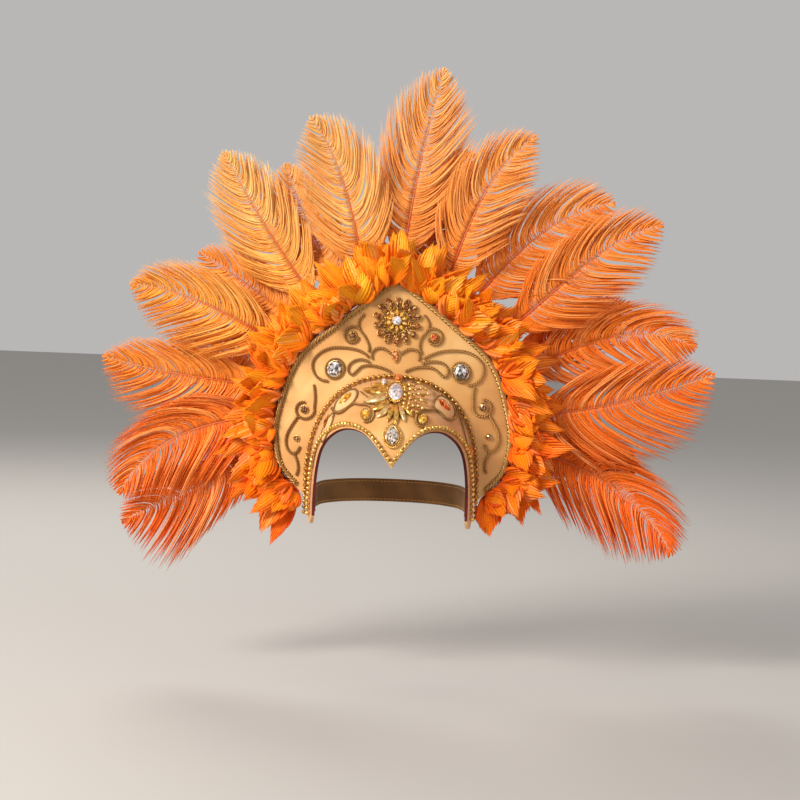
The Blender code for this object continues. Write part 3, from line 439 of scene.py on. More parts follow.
class TreeMaker:
    def __init__(self, name, inputs):
        self.tree = bpy.data.node_groups.new(name, "GeometryNodeTree")
        sockets = self.tree.interface
        sockets.new_socket("Geometry", in_out="INPUT", socket_type="NodeSocketGeometry")
        for label, kind in inputs.items():
            sockets.new_socket(label, in_out="INPUT", socket_type="NodeSocket" + kind)
        sockets.new_socket("Geometry", in_out="OUTPUT", socket_type="NodeSocketGeometry")
        self.start = self.tree.nodes.new("NodeGroupInput")
        self.end = self.tree.nodes.new("NodeGroupOutput")

    def given(self, label):
        return Value(self, self.start.outputs[label])

    def feed(self, socket, value):
        if isinstance(value, Value):
            self.tree.links.new(value.socket, socket)
        elif value is not None:
            socket.default_value = value

    def node(self, kind, feeds=None, **settings):
        node = self.tree.nodes.new(kind)
        for key, value in settings.items():
            setattr(node, key, value)
        for key, value in (feeds or {}).items():
            self.feed(node.inputs[key], value)
        return node

    def out(self, node, key=0):
        return Value(self, node.outputs[key])

    def calc(self, operation, *values):
        vectors = [v.socket.type == "VECTOR" if isinstance(v, Value) else isinstance(v, tuple) for v in values]
        if operation == "MULTIPLY" and any(vectors) and not all(vectors):
            vector, number = values if vectors[0] else reversed(values)
            return self.out(self.node("ShaderNodeVectorMath", {0: vector, "Scale": number}, operation="SCALE"))
        kind = "ShaderNodeVectorMath" if any(vectors) else "ShaderNodeMath"
        return self.out(self.node(kind, dict(enumerate(values)), operation=operation))

    def mix(self, first, second, share):
        return first + (second - first) * share

    def clamp(self, value, low=0.0, high=1.0):
        return self.calc("MINIMUM", self.calc("MAXIMUM", value, low), high)

    def sin(self, value):
        return self.calc("SINE", value)

    def cos(self, value):
        return self.calc("COSINE", value)

    def cross(self, first, second):
        return self.calc("CROSS_PRODUCT", first, second)

    def unit(self, vector):
        return self.calc("NORMALIZE", vector)

    def parts(self, vector):
        node = self.node("ShaderNodeSeparateXYZ", {"Vector": vector})
        return [self.out(node, key) for key in "XYZ"]

    def vector(self, x, y, z):
        return self.out(self.node("ShaderNodeCombineXYZ", {"X": x, "Y": y, "Z": z}))

    def chance(self, identity, seed, low=0.0, high=1.0):
        node = self.node("FunctionNodeRandomValue", {2: low, 3: high, "ID": identity, "Seed": seed}, data_type="FLOAT")
        return self.out(node, 1)

    def stored(self, geometry, name, value, kind="FLOAT"):
        feeds = {"Geometry": geometry, "Name": name, "Value": value}
        return self.out(self.node("GeometryNodeStoreNamedAttribute", feeds, data_type=kind, domain="POINT"))

    def named(self, name, kind="FLOAT"):
        return self.out(self.node("GeometryNodeInputNamedAttribute", {"Name": name}, data_type=kind), "Attribute")

    def sample(self, curve, share, name=None):
        # place and direction on a curve at a share of its length, and its lift where that was stored
        feeds = {"Curves": curve, "Factor": share}
        if name:
            feeds["Value"] = self.named(name, "FLOAT_VECTOR")
        kind = "FLOAT_VECTOR" if name else "FLOAT"
        node = self.node("GeometryNodeSampleCurve", feeds, mode="FACTOR", data_type=kind)
        return self.out(node, "Position"), self.out(node, "Tangent"), self.out(node, "Value")

    def strands(self, count, sides, segments):
        # slim closed rods, all at the origin: the formulas that follow put each point in its place
        points = self.out(self.node("GeometryNodePoints", {"Count": count}))
        rod = self.node(
            "GeometryNodeMeshCylinder",
            {"Vertices": sides, "Side Segments": segments, "Radius": 1.0, "Depth": 1.0},
            fill_type="NGON",
        )
        return points, self.out(rod, "Mesh")

    def realized(self, points, rod):
        made = self.out(self.node("GeometryNodeInstanceOnPoints", {"Points": points, "Instance": rod}))
        return self.out(self.node("GeometryNodeRealizeInstances", {"Geometry": made}))

    def finish(self, parts):
        # parts are (geometry, material): joined, smooth, and given out
        join = self.node("GeometryNodeJoinGeometry")
        for geometry, material in parts:
            feeds = {"Geometry": geometry, "Material": material}
            painted = self.node("GeometryNodeSetMaterial", feeds)
            self.tree.links.new(painted.outputs[0], join.inputs[0])
        smooth = self.node("GeometryNodeSetShadeSmooth", {"Geometry": self.out(join)})
        self.tree.links.new(smooth.outputs[0], self.end.inputs[0])
        return self.tree


def pathObject(name, points, lifts=None):
    # a line of points that a tree grows its piece along; lifts are the surface normals under it
    mesh = bpy.data.meshes.new(name)
    mesh.from_pydata([tuple(p) for p in points], [(i, i + 1) for i in range(len(points) - 1)], [])
    if lifts:
        store = mesh.attributes.new("lift", "FLOAT_VECTOR", "POINT")
        for slot, lift in zip(store.data, lifts):
            slot.vector = lift
    obj = bpy.data.objects.new(name, mesh)
    bpy.context.scene.collection.objects.link(obj)
    return obj


def grown(name, tree, points, settings, lifts=None):
    # runs the tree on the path and keeps the plain mesh
    start = pathObject(name + "Path", points, lifts)
    modifier = start.modifiers.new("grow", "NODES")
    modifier.node_group = tree
    for item in tree.interface.items_tree:
        if item.in_out == "INPUT" and item.name in settings:
            modifier[item.identifier] = settings[item.name]
    graph = bpy.context.evaluated_depsgraph_get()
    mesh = bpy.data.meshes.new_from_object(start.evaluated_get(graph), preserve_all_data_layers=True, depsgraph=graph)
    bpy.data.objects.remove(start)
    mesh.name = name
    return mesh


def joined(name, meshes):
    # one object from several plain meshes, each with its own materials
    objects = []
    for mesh in meshes:
        obj = bpy.data.objects.new(name, mesh)
        bpy.context.scene.collection.objects.link(obj)
        objects.append(obj)
    if len(objects) > 1:
        with bpy.context.temp_override(active_object=objects[0], selected_editable_objects=objects):
            bpy.ops.object.join()
    objects[0].name = name
    return objects[0]


def settle(obj, slot, *nodes):
    # rides on the headdress and stands for its plain solids
    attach(obj, "root")
    if nodes:
        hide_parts(*nodes)
    return obj


def shellMesh(name, vertices, faces, material, flat=True, sparks=None):
    mesh = bpy.data.meshes.new(name)
    mesh.from_pydata(vertices, [], faces)
    mesh.materials.append(material)
    editor = bmesh.new()
    editor.from_mesh(mesh)
    bmesh.ops.recalc_face_normals(editor, faces=editor.faces)
    editor.to_mesh(mesh)
    editor.free()
    if flat:
        mesh.shade_flat()
    else:
        mesh.shade_smooth()
    if sparks:
        store = mesh.attributes.new("spark", "FLOAT", "FACE")
        store.data.foreach_set("value", sparks)
    return mesh


# plumes

Plume = namedtuple("Plume", "aim lean turn reach width fill nod layer droop tint")
# the last column, tint, mixes each plume towards the deeper copy: partly its own shade of orange, partly painted shade
# on the right-hand plumes that the lamps light less
plumes = {
    "plume_01": Plume(-116.6, 1.0, -1.0, 0.306, 0.086, 0.85, 0.020, 0.002, 0.80, 0.78),
    "plume_02": Plume(-99.9, 1.9, -13.3, 0.295, 0.090, 0.36, 0.028, -0.010, 0.40, 0.74),
    "plume_03": Plume(-87.5, 1.5, 2.0, 0.301, 0.080, 0.36, 0.020, 0.002, 0.20, 0.40),
    "plume_04": Plume(-67.7, 5.8, -6.8, 0.291, 0.084, 0.36, 0.028, -0.010, 0.20, 0.16),
    "plume_05": Plume(-42.0, 5.1, 0.1, 0.305, 0.088, 0.36, 0.020, 0.002, 0.20, 0.14),
    "plume_06": Plume(-15.9, 3.5, -6.3, 0.296, 0.094, 0.36, 0.028, -0.010, 0.15, 0.34),
    "plume_07": Plume(0.4, 6.5, -0.3, 0.338, 0.098, 0.36, 0.022, 0.002, 0.15, 0.72),
    "plume_08": Plume(23.4, -6.5, 9.5, 0.301, 0.086, 0.36, 0.028, -0.010, 0.20, 0.78),
    "plume_09": Plume(37.0, 0.9, 8.6, 0.300, 0.096, 0.36, 0.020, 0.002, 0.25, 0.86),
    "plume_10": Plume(59.5, -13.9, 9.3, 0.324, 0.088, 0.36, 0.028, -0.010, 0.20, 0.92),
    "plume_11": Plume(78.9, -16.7, 16.5, 0.313, 0.084, 0.36, 0.020, 0.002, 0.20, 0.94),
    "plume_12": Plume(97.7, -14.6, 0.3, 0.326, 0.096, 0.36, 0.028, -0.010, 0.40, 0.94),
    "plume_13": Plume(108.0, -0.9, 10.5, 0.327, 0.092, 0.36, 0.020, 0.002, 0.40, 0.96),
    "back_plume_1": Plume(-77.0, 0.0, -1.0, 0.238, 0.070, 0.36, 0.010, 0.014, 0.20, 0.55),
    "back_plume_2": Plume(-54.5, 0.0, -1.0, 0.250, 0.070, 0.36, 0.010, 0.014, 0.20, 0.48),
    "back_plume_3": Plume(-29.0, 0.0, 2.0, 0.264, 0.074, 0.36, 0.012, 0.014, 0.15, 0.52),
    "back_plume_4": Plume(11.5, 0.0, 4.0, 0.264, 0.074, 0.36, 0.012, 0.014, 0.15, 0.80),
    "back_plume_5": Plume(68.0, 0.0, -2.0, 0.262, 0.064, 0.50, 0.010, 0.018, 0.20, 1.00),
    "back_plume_6": Plume(102.8, 0.0, 2.0, 0.262, 0.066, 0.50, 0.010, 0.018, 0.40, 1.00),
}
fan = {"centre": (0.0, 0.126), "root": 0.092, "slope": 0.12, "spreadStart": 0.134, "spreadLength": 0.034}
quill = {"radius": 0.0018, "clearance": 0.0005, "bare": 0.24, "nodStart": 0.40, "nodPower": 2.4}
# Barbs a side, strand radius and how far they gather; the down fills the gaps between the barbs
barbSets = {
    "barbs": {"Barbs": 150, "Segments": 9, "Radius": 0.00112, "Gather": 0.82, "Locks": 42.0, "Ragged": 0.14, "Spread": 0.0022},
    "down": {"Barbs": 190, "Segments": 5, "Radius": 0.00050, "Gather": 0.35, "Locks": 42.0, "Ragged": 0.34, "Spread": 0.0040},
}


def plumePoint(plume, u):
    radius = fan["root"] + (plume.reach - fan["root"]) * u
    angle = math.radians(plume.aim + plume.lean * u + plume.turn * u**3)
    centreX, centreZ = fan["centre"]
    held = min(radius, fan["spreadStart"])
    rest = plaqueFront(centreX + held * math.sin(angle), centreZ + held * math.cos(angle))
    rest += plaque["thickness"] + quill["radius"] + quill["clearance"]
    past = max(radius - fan["spreadStart"], 0.0)
    spread = min(past / fan["spreadLength"], 1.0)
    spread = spread * spread * (3 - 2 * spread)
    bow = max(u - quill["nodStart"], 0.0) / (1 - quill["nodStart"])
    y = rest + fan["slope"] * past + plume.layer * spread - plume.nod * bow ** quill["nodPower"]
    return Vector((centreX + radius * math.sin(angle), y, centreZ + radius * math.cos(angle)))


def makePlumeTree():
    make = TreeMaker("growPlume", {
        "Barbs": "Int", "Segments": "Int", "Seed": "Int", "Radius": "Float", "Gather": "Float", "Locks": "Float",
        "Ragged": "Float", "Spread": "Float", "Width": "Float", "Fill": "Float", "Bare": "Float", "Length": "Float",
        "Droop": "Float", "Tint": "Float", "Quill": "Float", "Barb Material": "Material", "Shaft Material": "Material",
    })
    given = make.given
    shaft = make.out(make.node("GeometryNodeMeshToCurve", {"Mesh": given("Geometry")}))

    # where each barb ends on the vane, its side and its chance
    points, rod = make.strands(given("Barbs") * 2.0, 3, given("Segments"))
    index = make.out(make.node("GeometryNodeInputIndex"))
    order = make.calc("FLOOR", index / 2.0)
    side = make.calc("FLOORED_MODULO", index, 2.0) * 2.0 - 1.0
    place = (order + make.chance(index, given("Seed"), 0.1, 0.9)) / given("Barbs")
    points = make.stored(points, "side", side)
    points = make.stored(points, "order", place)
    points = make.stored(points, "chance", make.chance(index, given("Seed") + 1.0))
    points = make.stored(points, "chance2", make.chance(index, given("Seed") + 2.0))
    mesh = make.realized(points, rod)

    ringX, ringY, height = make.parts(make.out(make.node("GeometryNodeInputPosition")))
    t = height + 0.5
    side, order = make.named("side"), make.named("order")
    chance, chance2 = make.named("chance"), make.named("chance2")

    # a lock is a run of neighbouring barbs whose tips come together
    lockNumber = make.calc("FLOOR", order * given("Locks") + side * 0.25)
    lockKey = lockNumber * 2.0 + side
    lockChance = make.chance(lockKey, given("Seed") + 3.0)
    lockChance2 = make.chance(lockKey, given("Seed") + 4.0)
    lockOrder = (lockNumber + 0.5 - side * 0.25 + (lockChance - 0.5) * 0.5) / given("Locks")
    pull = given("Gather") * (0.60 + 0.40 * lockChance2) * t ** 1.9
    order = make.clamp(make.mix(order, lockOrder, pull), 0.0, 0.999)

    def endShare(share):
        return 1.0 - (1.0 - share) ** 1.7

    end = endShare(order)
    widening = 0.28 + 0.72 * make.calc("MINIMUM", end / given("Fill"), 1.0)
    rounding = make.calc("SQRT", make.calc("MAXIMUM", 1.0 - (make.calc("MAXIMUM", end - 0.60, 0.0) / 0.40) ** 2.2, 0.0))
    halfWidth = given("Width") * 0.5 * widening * rounding
    sweep = (58.0 - 24.0 * end) * (math.pi / 180)
    ahead = halfWidth / make.calc("TANGENT", sweep) / given("Length")
    ends = given("Bare") + (1.0 - given("Bare")) * end
    reach = 1.0 - given("Ragged") * chance + 0.10 * (lockChance - 0.5) * t
    start = make.calc("MAXIMUM", ends - ahead, given("Bare") * 0.9)
    along = make.clamp(start + (ends - start) * reach * t ** (1.70 + 0.7 * lockChance2), 0.0, 0.999)
    centre, ahead, _ = make.sample(shaft, along)
    across = make.unit(make.cross(ahead, (0.0, -1.0, 0.0)))
    front = make.cross(across, ahead)
    acrossZ = make.parts(across)[2]
    sink = 0.12 + given("Droop") * make.calc("MAXIMUM", acrossZ * side * -1.0, 0.0)
    out = halfWidth * reach
    lie = make.vector(0.0, 0.0, sink * -1.0) + front * (0.10 + 0.5 * (lockChance - 0.5))
    depth = front * (given("Spread") * (chance2 - 0.5) * t + 0.0008 * (chance2 - 0.5))
    middle = centre + across * (side * t * out) + lie * (t ** 2.0 * out) + depth

    # the strand's own section, flat against the vane and running out to a point
    away = make.unit(across * (side * make.calc("SINE", sweep)) + ahead * make.calc("COSINE", sweep))
    flank = make.cross(front, away)
    body = given("Radius") * (0.6 + 0.8 * chance) * (0.72 + 0.28 * make.sin(t * 2.4)) * (1.0 - 0.93 * t ** 4.0)
    middle = middle + flank * (ringX * body) + front * (ringY * body * 0.45)
    mesh = make.out(make.node("GeometryNodeSetPosition", {"Geometry": mesh, "Position": middle}))
    mesh = make.stored(mesh, "tone", make.vector(t, end, chance2 * 0.6 + lockChance * 0.4), "FLOAT_VECTOR")
    # tint carries the plume's own colour and its painted side shade, with a random part for each lock
    mesh = make.stored(mesh, "tint", make.clamp(given("Tint") + 0.25 * (lockChance2 - 0.5)))

    # the shaft itself
    share = make.out(make.node("GeometryNodeSplineParameter"), "Factor")
    shaft = make.stored(shaft, "alongShaft", share)
    taper = given("Quill") * (0.80 - 0.62 * share)
    ring = make.out(make.node("GeometryNodeCurvePrimitiveCircle", {"Resolution": 6, "Radius": 1.0}))
    feeds = {"Curve": shaft, "Profile Curve": ring, "Scale": taper, "Fill Caps": True}
    stem = make.node("GeometryNodeCurveToMesh", feeds)
    stem = make.stored(make.out(stem), "tint", given("Tint"))
    return make.finish([(mesh, given("Barb Material")), (stem, given("Shaft Material"))])


def makePlumes():
    tree = makePlumeTree()
    for number, (name, plume) in enumerate(plumes.items()):
        points = [plumePoint(plume, i / 40) for i in range(41)]
        meshes = []
        for kind, barbs in barbSets.items():
            settings = {
                **barbs, "Seed": 10 * number + 3, "Width": plume.width, "Fill": plume.fill, "Bare": quill["bare"],
                "Length": (plume.reach - fan["root"]) * (1 - quill["bare"]), "Droop": plume.droop, "Tint": plume.tint,
                "Quill": quill["radius"] if kind == "barbs" else 0.0004,
                "Barb Material": materials["plume"], "Shaft Material": materials["shaft"],
            }
            if name.startswith("back"):
                settings["Barbs"] = round(settings["Barbs"] * 0.8)
                settings["Locks"] = 26.0
                settings["Quill"] = min(settings["Quill"], 0.0009)
            meshes.append(grown(name + "_" + kind, tree, points, settings))
        settle(joined(name + "_feather", meshes), "plume_orange", name)


makePlumes()
print("plumes grown")

# ruff of short curled feathers round the plaque's edge

# name: where the section starts and ends on the edge, -1 and 1 being the ears
ruffSections = {
    "ruff_left_low": (-0.985, -0.620),
    "ruff_left_high": (-0.610, -0.220),
    "ruff_top": (-0.210, 0.210),
    "ruff_right_high": (0.220, 0.610),
    "ruff_right_low": (0.620, 0.985),
}
# Feathers for each section's length of one, their length, half width, rise towards the front and curl, all spread by chance
# Shade is painted shade: the root row, deep in the ruff, is mixed furthest towards the deeper copy and the front row
# least
ruffRows = {
    "root": {
        "Feathers": 96, "Out": -0.0015, "Ahead": -0.0012, "Length": 0.020, "Half Width": 0.0075, "Rise": 0.35,
        "Rise Spread": 0.50, "Curl": -0.5, "Curl Spread": 1.2, "Lean": 0.70, "Shade": 0.62,
    },
    "outer": {
        "Feathers": 58, "Out": 0.003, "Ahead": -0.001, "Length": 0.051, "Half Width": 0.0105, "Rise": 0.20,
        "Rise Spread": 0.35, "Curl": 0.0, "Curl Spread": 2.4, "Lean": 0.80, "Shade": 0.30,
    },
    "middle": {
        "Feathers": 56, "Out": 0.002, "Ahead": 0.002, "Length": 0.045, "Half Width": 0.0105, "Rise": 0.75,
        "Rise Spread": 0.50, "Curl": -0.9, "Curl Spread": 2.4, "Lean": 1.00, "Shade": 0.12,
    },
    "front": {
        "Feathers": 50, "Out": 0.000, "Ahead": 0.002, "Length": 0.034, "Half Width": 0.0090, "Rise": 1.10,
        "Rise Spread": 0.50, "Curl": -1.9, "Curl Spread": 1.6, "Lean": 0.95, "Shade": 0.05,
    },
}
ruffShape = {"fingers": 9, "segments": 7, "edgeOffset": 0.0032}


def makeRuffTree():
    make = TreeMaker("growRuff", {
        "Feathers": "Int", "Fingers": "Int", "Segments": "Int", "Seed": "Int", "Out": "Float", "Ahead": "Float",
        "Length": "Float", "Half Width": "Float", "Rise": "Float", "Rise Spread": "Float", "Curl": "Float",
        "Curl Spread": "Float", "Lean": "Float", "Shade": "Float", "Feather Material": "Material",
    })
    given = make.given
    edge = make.out(make.node("GeometryNodeMeshToCurve", {"Mesh": given("Geometry")}))
    points, rod = make.strands(given("Feathers") * given("Fingers"), 4, given("Segments"))
    index = make.out(make.node("GeometryNodeInputIndex"))
    number = make.calc("FLOOR", (index + 0.5) / given("Fingers"))
    finger = (index - number * given("Fingers")) / (given("Fingers") - 1.0) * 2.0 - 1.0
    points = make.stored(points, "feather", number)
    points = make.stored(points, "finger", finger)
    points = make.stored(points, "chance", make.chance(index, given("Seed") + 9.0))
    mesh = make.realized(points, rod)

    ringX, ringY, height = make.parts(make.out(make.node("GeometryNodeInputPosition")))
    number, finger, chance = make.named("feather"), make.named("finger"), make.named("chance")
    luck = [make.chance(number, given("Seed") + float(k)) for k in range(8)]
    share = (number + 0.15 + 0.7 * luck[0]) / given("Feathers")
    root, _, _ = make.sample(edge, share)
    rootX, _, rootZ = make.parts(root)
    outward = make.unit(make.vector(rootX, 0.0, rootZ - fan["centre"][1]))
    front = make.vector(0.0, -1.0, 0.0)
    sideways = make.cross(outward, front)
    lean = (luck[1] - 0.5) * 2.0 * given("Lean")
    outward = outward * make.cos(lean) + sideways * make.sin(lean)
    rise = given("Rise") + (luck[2] - 0.5) * given("Rise Spread")
    ahead = outward * make.cos(rise) + front * make.sin(rise)
    upward = front * make.cos(rise) - outward * make.sin(rise)
    curl = given("Curl") + (luck[3] - 0.5) * given("Curl Spread") + 0.0131
    length = given("Length") * (0.75 + 0.5 * luck[4])
    halfWidth = given("Half Width") * (0.8 + 0.45 * luck[5])

    # a finger ends short of the tip, and the outer ones soonest
    tau = height + 0.5
    aside = make.calc("ABSOLUTE", finger)
    t = tau * (1.0 - 0.34 * aside ** 1.7 - 0.14 * chance * aside)
    turned = curl * t
    middle = (ahead * make.sin(turned) + upward * (1.0 - make.cos(turned))) * (length / curl)
    heading = ahead * make.cos(turned) + upward * make.sin(turned)
    normal = upward * make.cos(turned) - ahead * make.sin(turned)
    across = make.cross(heading, normal)
    roll = (luck[6] - 0.5) * 1.6 * t
    across, normal = across * make.cos(roll) + normal * make.sin(roll), normal * make.cos(roll) - across * make.sin(roll)
    spread = make.sin((0.10 + 0.82 * t) * math.pi) ** 0.75 * halfWidth
    cup = (luck[7] - 0.35) * 0.9
    lateral = finger * spread
    middle = middle + across * lateral + normal * (aside ** 2.0 * spread * cup)
    body = spread / given("Fingers") * 2.1 * (1.0 - 0.92 * tau ** 5.0) + 0.00008
    middle = middle + across * (ringX * body) + normal * (ringY * (body * 0.22 + 0.00008))
    start = root + make.unit(make.vector(rootX, 0.0, rootZ - fan["centre"][1])) * given("Out") + front * given("Ahead")
    mesh = make.out(make.node("GeometryNodeSetPosition", {"Geometry": mesh, "Position": start + middle}))
    mesh = make.stored(mesh, "tone", make.vector(t, aside, chance * 0.5 + luck[5] * 0.5), "FLOAT_VECTOR")
    # tint holds the row's painted shade, with a random part for each feather
    mesh = make.stored(mesh, "tint", make.clamp(given("Shade") + 0.5 * (luck[4] - 0.5)))
    return make.finish([(mesh, given("Feather Material"))])


def edgePoints(start, end, count, offset, ahead):
    edge = mirroredLine(smoothLine(plaqueEdge, 61))
    points = []
    for i in range(count):
        t = start + (end - start) * i / (count - 1)
        place = (t + 1) / 2 * (len(edge) - 1)
        k = min(int(place), len(edge) - 2)
        x, z = edge[k].lerp(edge[k + 1], place - k)
        out = Vector((x - fan["centre"][0], z - fan["centre"][1])).normalized()
        x, z = x + out[0] * offset, z + out[1] * offset
        points.append(Vector((x, plaqueFront(x, z) - ahead, z)))
    return points


def bandMesh(name, points):
    # the tape that the feathers are sewn to, close by the plaque's edge
    depth, width, inset = 0.0040, 0.0060, 0.0024
    rows = []
    for point in points:
        out = Vector((point[0] - fan["centre"][0], 0, point[2] - fan["centre"][1])).normalized()
        inner = point - out * inset
        rows.append([inner, inner + out * width])
    vertices, faces = [], []
    for inner, outer in rows:
        vertices += [inner, outer, outer + Vector((0, depth, 0)), inner + Vector((0, depth, 0))]
    for i in range(len(rows) - 1):
        for k in range(4):
            a, b = 4 * i + k, 4 * i + (k + 1) % 4
            faces.append((a, b, b + 4, a + 4))
    faces += [(0, 1, 2, 3), tuple(range(len(vertices) - 4, len(vertices)))]
    return shellMesh(name + "Band", vertices, faces, materials["tape"])


def makeRuff():
    tree = makeRuffTree()
    for number, (name, (start, end)) in enumerate(ruffSections.items()):
        points = edgePoints(start, end, 24, ruffShape["edgeOffset"], -0.001)
        meshes = []
        for k, (row, shape) in enumerate(ruffRows.items()):
            settings = {
                **shape, "Fingers": ruffShape["fingers"], "Segments": ruffShape["segments"],
                "Seed": 100 * number + 17 * k + 5, "Feather Material": materials["ruff"],
            }
            settings["Feathers"] = round(shape["Feathers"] * (end - start))
            # painted shade: the right side of the ruff is made deeper
            if "right" in name:
                settings["Shade"] = shape["Shade"] + 0.25
            meshes.append(grown(f"{name}_{row}", tree, points, settings))
        meshes.append(bandMesh(name, points))
        settle(joined(name + "_feathers", meshes), "ruff_orange", name)


makeRuff()
print("ruff grown")

# satin plaque and cap, finer than the solids and on the same surfaces

skin = {"plaqueColumns": 72, "plaqueRows": 8, "capColumns": 60, "capRows": 22, "browRoll": 0.0004}


def walledMesh(name, front, back, frontMaterial, backMaterial, linedRim=False):
    rows, columns = len(front), len(front[0])
    behind = rows * columns
    faces, marks = [], []
    for i in range(rows - 1):
        for j in range(columns - 1):
            a, b = i * columns + j, (i + 1) * columns + j
            faces.append((a, a + 1, b + 1, b))
            faces.append((behind + a, behind + b, behind + b + 1, behind + a + 1))
            marks += [0, 1]
    rim = list(range(columns))
    rim += [i * columns + columns - 1 for i in range(1, rows)]
    rim += [(rows - 1) * columns + j for j in range(columns - 2, -1, -1)]
    rim += [i * columns for i in range(rows - 2, 0, -1)]
    for a, b in zip(rim, [*rim[1:], rim[0]]):
        faces.append((a, b, behind + b, behind + a))
        marks.append(1 if linedRim and min(a, b) >= behind - columns else 0)
    mesh = bpy.data.meshes.new(name)
    mesh.from_pydata([p for row in [*front, *back] for p in row], [], faces)
    mesh.materials.append(frontMaterial)
    mesh.materials.append(backMaterial)
    mesh.polygons.foreach_set("material_index", marks)
    editor = bmesh.new()
    editor.from_mesh(mesh)
    bmesh.ops.recalc_face_normals(editor, faces=editor.faces)
    editor.to_mesh(mesh)
    editor.free()
    mesh.shade_smooth()
    mesh.set_sharp_from_angle(angle=math.radians(50))
    obj = bpy.data.objects.new(name, mesh)
    bpy.context.scene.collection.objects.link(obj)
    return obj


def plateMesh(name, depth, innerGrow, edgeInset, cut, thickness, frontMaterial, backMaterial):
    columns, across = skin["plaqueColumns"], skin["plaqueRows"]
    edge = mirroredLine(smoothLine(plaqueEdge, columns + 1))
    front = []
    for j in range(across + 1):
        share = j / across
        row = []
        for i in range(cut, 2 * columns + 1 - cut):
            innerX, innerZ = archPoint(i / columns - 1, innerGrow)
            out = Vector((edge[i][0] - fan["centre"][0], edge[i][1] - fan["centre"][1])).normalized()
            outerX, outerZ = edge[i][0] - out[0] * edgeInset, edge[i][1] - out[1] * edgeInset
            x = innerX + (outerX - innerX) * share
            z = innerZ + (outerZ - innerZ) * share
            row.append(Vector((x, plaqueFront(x, z) + depth, z)))
        front.append(row)
    back = [[p + Vector((0, thickness, 0)) for p in row] for row in front]
    return walledMesh(name, front, back, frontMaterial, backMaterial)


def browColumns(count):
    fine = smoothLine(browEdge, 480)
    archLine = []
    for x, z in fine:
        radius = domeRadius(x, z)
        archLine.append(Vector((x / radius, arch["spring"] + max(z - arch["spring"], 0) / radius)))
    steps = [
        (fine[i + 1] - fine[i]).length + 0.6 * (archLine[i + 1] - archLine[i]).length
        for i in range(len(fine) - 1)
    ]
    return evenly(fine, steps, count)


def capMesh():
    across = skin["capRows"]
    edge = mirroredLine(browColumns(skin["capColumns"]))
    tabX = edge[-1][0]
    tail = [Vector((tabX, edge[-1][1] * k / 5)) for k in (4, 3, 2, 1, 0)]
    ends = [*[Vector((-p[0], p[1])) for p in reversed(tail)], *edge, *tail]
    last = len(tail)
    front, back = [], []
    for j in range(across + 1):
        share = (j / across) ** 1.3
        frontRow, backRow = [], []
        for i, (edgeX, edgeZ) in enumerate(ends):
            radius = domeRadius(edgeX, edgeZ)
            grow = (1 - share * (1 - radius)) / radius
            x, z = edgeX * grow, edgeZ
            if edgeZ > arch["spring"]:
                z = arch["spring"] + (edgeZ - arch["spring"]) * grow
            beyond = max(last - i, i - (len(ends) - 1 - last), 0) / last
            z += beyond**2 * cap["tabRounding"] * (2 * share - 1) ** 2
            point = onSurface(browFront, x, z, 0.0)
            inwards = -surfaceNormal(browFront, x, z)
            inner = point + inwards * cap["thickness"]
            if j == 0:
                inner = point + Vector((inwards[0], 0.0, inwards[2])).normalized() * cap["thickness"]
                inner[1] = plaqueFront(inner[0], inner[2]) - cap["rearGap"]
            frontRow.append(point)
            backRow.append(inner)
        front.append(frontRow)
        back.append(backRow)
    return walledMesh("brow_cap_satin", front, back, materials["satin"], materials["lining"], True)


def makeSkins():
    face = plateMesh(
        "crown_plaque_satin", 0.0, -0.003, 0.0, 0, plaque["thickness"], materials["satin"], materials["satin"]
    )
    settle(face, "gold_satin", "crown_plaque")
    depth = plaque["thickness"] + 2 * (quill["radius"] + quill["clearance"])
    rear = plateMesh("feather_backing_cloth", depth, -0.002, 0.007, 3, 0.003, materials["backing"], materials["backing"])
    settle(rear, "plain_band", "feather_backing")
    settle(capMesh(), "gold_satin", "brow_cap")


makeSkins()
print("satin laid")

# beads, cords and stitches all follow a line of points

beadFaces = {"segments": 10, "rings": 7}


def makeBeadTree():
    make = TreeMaker("threadBeads", {
        "Bead Radius": "Float", "Spread": "Float", "Thread Radius": "Float", "Seed": "Int",
        "Bead Material": "Material", "Thread Material": "Material",
    })
    given = make.given
    line = make.out(make.node("GeometryNodeMeshToCurve", {"Mesh": given("Geometry")}))
    points = make.out(make.node("GeometryNodeMeshToPoints", {"Mesh": given("Geometry")}))
    index = make.out(make.node("GeometryNodeInputIndex"))
    luck = make.chance(index, given("Seed"))
    points = make.stored(points, "luck", luck)
    bead = make.out(make.node(
        "GeometryNodeMeshUVSphere",
        {"Segments": beadFaces["segments"], "Rings": beadFaces["rings"], "Radius": 1.0},
    ))
    size = given("Bead Radius") * (1.0 + given("Spread") * (luck - 0.5))
    turn = make.vector(luck * 6.0, luck * 17.0, luck * 41.0)
    feeds = {"Points": points, "Instance": bead, "Scale": size, "Rotation": turn}
    beads = make.out(make.node("GeometryNodeInstanceOnPoints", feeds))
    beads = make.out(make.node("GeometryNodeRealizeInstances", {"Geometry": beads}))
    ring = make.out(make.node("GeometryNodeCurvePrimitiveCircle", {"Resolution": 5, "Radius": 1.0}))
    feeds = {"Curve": line, "Profile Curve": ring, "Scale": given("Thread Radius"), "Fill Caps": True}
    thread = make.out(make.node("GeometryNodeCurveToMesh", feeds))
    return make.finish([(beads, given("Bead Material")), (thread, given("Thread Material"))])


